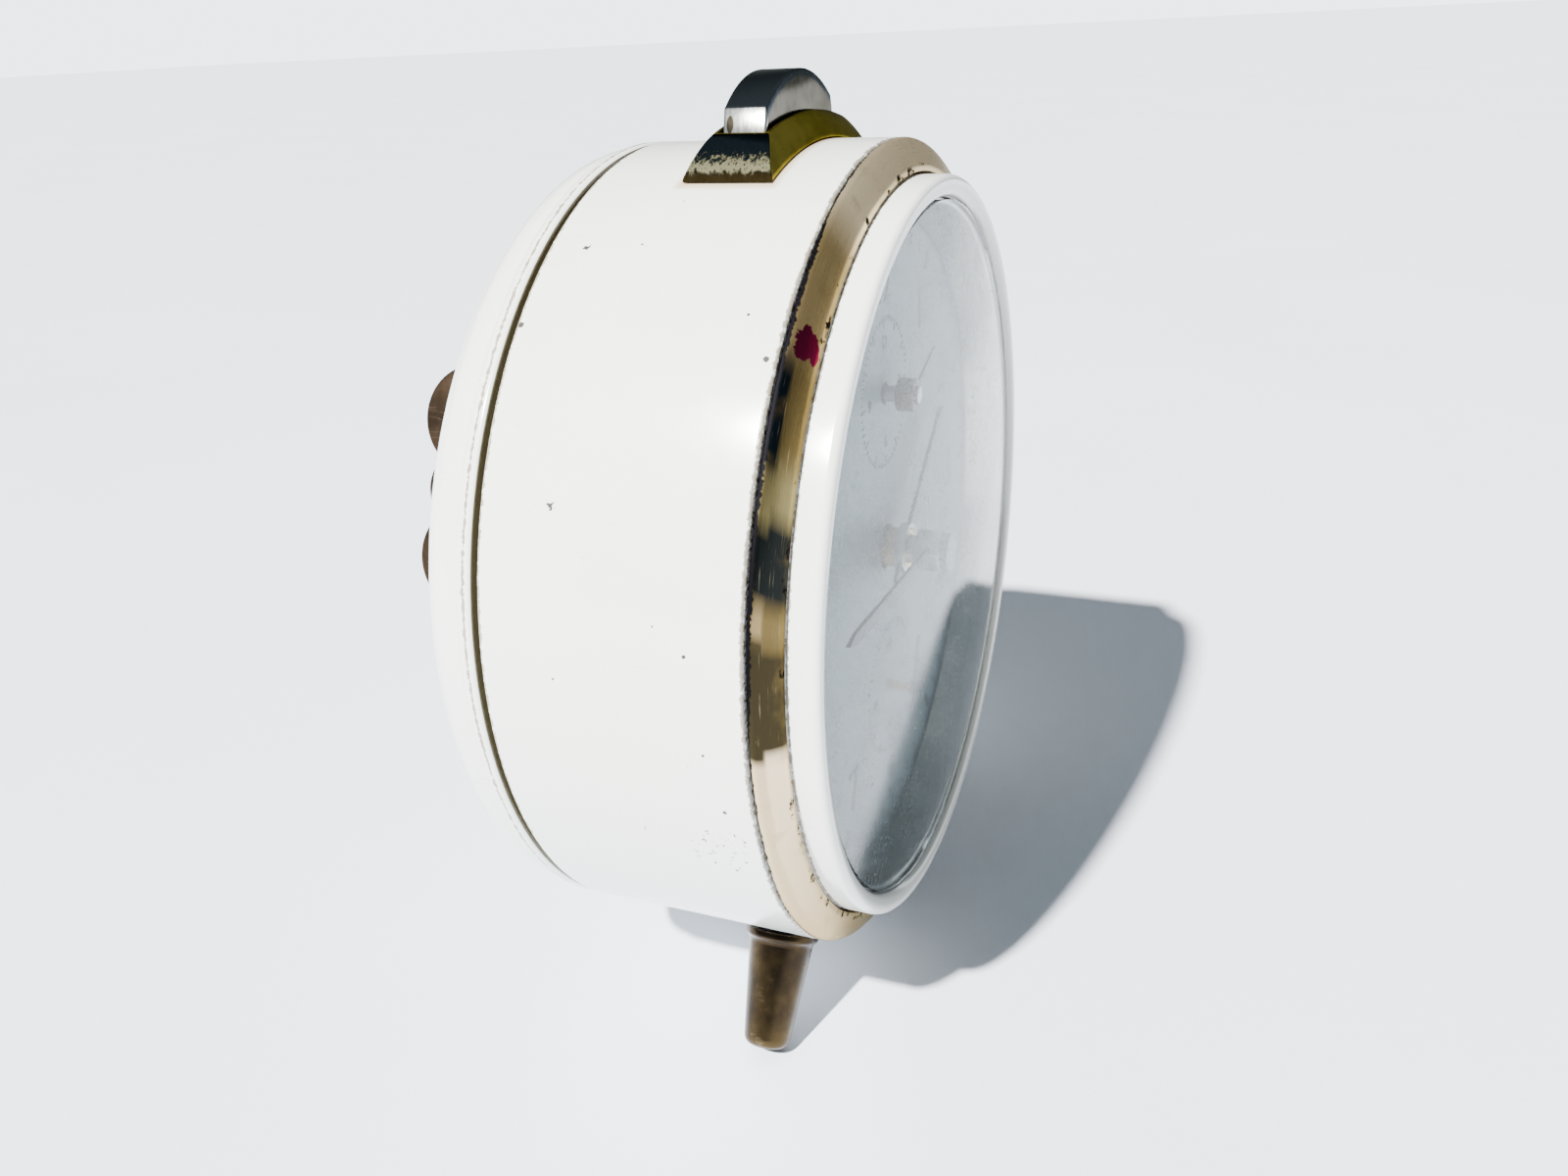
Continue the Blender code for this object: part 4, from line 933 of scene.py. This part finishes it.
knob_line = fillet([(1.06, -38.4), (4.4, -38.4), (4.7, -38.8), (4.7, -43.2), (4.2, -43.7), (0, -43.7),
                    (0, -43.3), (1.06, -43.3)][::-1], (0.1, 0, 0, 0.5, 0.4, 0.2, 0.3, 0.1), 5)
for node, body, y in (("hand_setting_knob", "centre", 0.0), ("alarm_setting_knob", "alarm_set", 18.3)):
    knob = turned(node + "_fluted", knob_line, (0.0, y), 28 * 12, ripple)
    settle(dressed(knob, BROWN), body, "brown_plastic", node)
for i in range(1, 5):
    node = f"cover_screw_{i}"
    at = on_dial(node)
    screw = turned(node + "_slotted", fillet(
        [(0, -37.4), (1.9, -37.2), (2.4, -36.1), (1.0, -36.1), (1.0, -28.0), (0, -28.0)][::-1],
        (0, 0.1, 0, 0.15, 0.4, 0), 5), at, 48)
    turn_by = 0.5 + 0.8 * i
    sine, cosine = math.sin(turn_by), math.cos(turn_by)
    x, y, forward = box_corners((-3.0, 3.0), (-0.25, 0.25), (-37.8, -36.8)).T
    places = dial_points(at[0] + x * cosine - y * sine, at[1] + x * sine + y * cosine, forward)
    carve(screw, mesh_object("slot_tool", places, BOX_SIDES))
    settle(dressed(screw, STEEL), "case", "nickel", node)

# %% [markdown]
# The dial is a pale silvered plate with plain numerals, minute marks, and two small circles:
# the alarm's above and the seconds' below. Its paint is a darker grey than such a plate, a
# painted shade for the dial lying in shade behind the glass. Marks are raised by a few
# hundredths of a millimetre, as printing is, in one mesh for the bars and one for the figures.

# %% Dial marks
DIAL_UP = -1.5
PRINT_UP = DIAL_UP + 0.06


def bars(name, rows, paint):
    """Flat bars on the dial, one row each: centre x and y, length, width and angle. The four
    corners are half a length and half a width either way, turned by the angle."""
    rows = np.array(rows, float)
    along = np.stack([np.cos(rows[:, 4]), np.sin(rows[:, 4])], -1)
    across = np.stack([-along[:, 1], along[:, 0]], -1)
    signs = np.array([(-1, -1), (1, -1), (1, 1), (-1, 1)]) / 2
    flat = (rows[:, None, :2] + signs[None, :, :1] * (rows[:, 2:3] * along)[:, None]
            + signs[None, :, 1:] * (rows[:, 3:4] * across)[:, None])
    low, high = (dial_points(flat[..., 0], flat[..., 1], up) for up in (DIAL_UP + 0.01, PRINT_UP))
    points = np.concatenate([low, high], 1)
    six = np.array([(0, 3, 2, 1), (4, 5, 6, 7), (0, 1, 5, 4), (1, 2, 6, 5), (2, 3, 7, 6), (3, 0, 4, 7)])
    faces = (six[None] + 8 * np.arange(len(rows))[:, None, None]).reshape(-1, 4).tolist()
    return dressed(mesh_object(name, points, faces), paint)


def ticks(count, radius, length, width, at=(0.0, 0.0), skip=()):
    angles = [i * 2 * math.pi / count for i in range(count) if i not in skip]
    return [(at[0] + radius * math.sin(a), at[1] + radius * math.cos(a), length, width, math.pi / 2 - a)
            for a in angles]


marks = ticks(60, 35.0, 1.4, 0.28) + ticks(12, 34.4, 2.6, 0.8)
for spot_at in ((0.0, 18.3), (0.0, -18.3)):
    marks += ticks(12, 7.8, 1.2, 0.22, spot_at) + ticks(60, 8.2, 0.5, 0.1, spot_at)
settle(bars("dial_minute_marks", marks, BLACK), "case", "black_paint")


def figure(text, at, size):
    curve = bpy.data.curves.new("figure", "FONT")
    curve.body = text
    curve.size = size * MM
    curve.align_x, curve.align_y = "CENTER", "CENTER"
    curve.extrude = 0.02 * MM
    curve.resolution_u = 4
    drawn = bpy.data.objects.new("figure", curve)
    bpy.context.scene.collection.objects.link(drawn)
    bpy.context.view_layer.update()
    mesh = bpy.data.meshes.new_from_object(drawn.evaluated_get(bpy.context.evaluated_depsgraph_get()))
    bpy.data.objects.remove(drawn, do_unlink=True)
    mesh.transform(Matrix.Translation(Vector(dial_points(at[0], at[1], DIAL_UP + 0.04)))
                   @ Matrix.Rotation(math.pi / 2, 4, "X"))
    return mesh


sheet = bmesh.new()
for hour in range(1, 13):
    a = hour * math.pi / 6
    if hour not in (12, 6):
        sheet.from_mesh(figure(str(hour), (28.5 * math.sin(a), 28.5 * math.cos(a)), 7.5))
    else:
        sheet.from_mesh(figure(str(hour), (29.9 * math.sin(a), 29.9 * math.cos(a)), 5.2))
for label, up in (("3", 0), ("6", 1), ("9", 2), ("12", 3)):
    a = (0.5, 1.0, 1.5, 2.0)[up] * math.pi
    sheet.from_mesh(figure(label, (5.6 * math.sin(a), 18.3 + 5.6 * math.cos(a)), 2.0))
    sheet.from_mesh(figure(("15", "30", "45", "60")[up], (5.6 * math.sin(a), -18.3 + 5.6 * math.cos(a)), 1.7))
bmesh.ops.remove_doubles(sheet, verts=sheet.verts, dist=1e-7)
figures_mesh = bpy.data.meshes.new("dial_figures")
sheet.to_mesh(figures_mesh)
sheet.free()
figures = bpy.data.objects.new("dial_figures", figures_mesh)
bpy.context.scene.collection.objects.link(figures)
settle(dressed(figures, BLACK), "case", "black_paint")

# %% [markdown]
# The hour and minute hands keep their CAD shape, and finer bosses are turned at the centre: one
# for the hours, one for the minutes, a cap ring and a cream cap. The minute hand's own CAD hub
# reaches over the ring and the cap, so those two are hidden.

# %% Hand bosses
BOSSES = (
    ("hour_boss", "hour", [(2.38, 0.15), (2.95, 0.15), (2.95, 1.25), (2.38, 1.25)], STEEL, "steel"),
    ("minute_boss", "centre", [(0, 2.2), (2.35, 2.2), (2.35, 5.0), (0, 5.0)], STEEL, "steel"),
    ("minute_cap_ring", "centre", [(1.3, 5.02), (2.3, 5.02), (2.1, 5.6), (1.3, 5.6)], NICKEL, "nickel"),
    ("cream_cap", "centre", [(0, 5.03), (1.25, 5.03), (1.15, 5.75), (0, 5.95)], CREAM_TIP, "dial_paint"),
)
for name, body, line, paint, slot in BOSSES:
    radii = [0 if r == 0 else 0.12 for r, _ in line[::-1]]
    settle(dressed(turned(name, fillet(line[::-1], radii, 4), (0, 0), 64), paint), body, slot)

# %% [markdown]
# The alarm hand is a thin pointer pressed on a short brown bush, which stands clear of the dial.
# Direction, reach and bush radius are the CAD hand's. The pointer has no tail and the bush is
# shorter than the CAD hub.

# %% Alarm hand
ALARM_AT, ALARM_TURN, ALARM_LONG = (0.0, 18.3), math.radians(68.0), 9.0
left = [(-0.45, 0.0), (-0.45, 1.5), (-0.35, 4.5), (-0.12, ALARM_LONG)]
pointer = np.array(left + [(-x, y) for x, y in left[::-1]])


def on_alarm(across, along, forward):
    """Across and along the pointer, turned clockwise from upright by the alarm's angle."""
    sine, cosine = math.sin(ALARM_TURN), math.cos(ALARM_TURN)
    right, up = across * cosine + along * sine, along * cosine - across * sine
    return dial_points(ALARM_AT[0] + right, ALARM_AT[1] + up, forward)


alarm_pointer = slab("alarm_pointer", pointer, 1.65, 1.9, 0.06, on_alarm)
bush_line = fillet([(0.99, 0.1), (1.85, 0.1), (1.85, 2.05), (0.99, 2.05)][::-1], [0.12] * 4, 4)
alarm_bush = turned("alarm_bush", bush_line, ALARM_AT, 64)
settle(dressed(alarm_pointer, BLACK), "alarm_set", "black_paint")
settle(dressed(alarm_bush, BROWN), "alarm_set", "brown_plastic", "alarm_hand")

# %% [markdown]
# Every CAD piece that still shows gets the finish of its metal. The table below sends each slot
# of the record to one material, so a piece that is seen through the glass or a slot in the back
# never shows a flat colour.

# %% Finishes for the carried-over pieces
BY_SLOT = {"brass": BRASS, "steel": STEEL, "blued_steel": BLUED, "aged_brass": AGED, "nickel": NICKEL,
           "black_paint": BLACK, "dial_paint": DIAL_PAINTED_SHADE, "brown_plastic": BROWN, "white_enamel": ENAMEL_BACK,
           "glass": GLASS}
for entry in frame["record"]["subparts"]:
    node = frame["nodes"][entry["node"]]
    dressed(node, BY_SLOT[entry["material_slot"]])
print(len(frame["nodes"]), "carried-over pieces dressed")
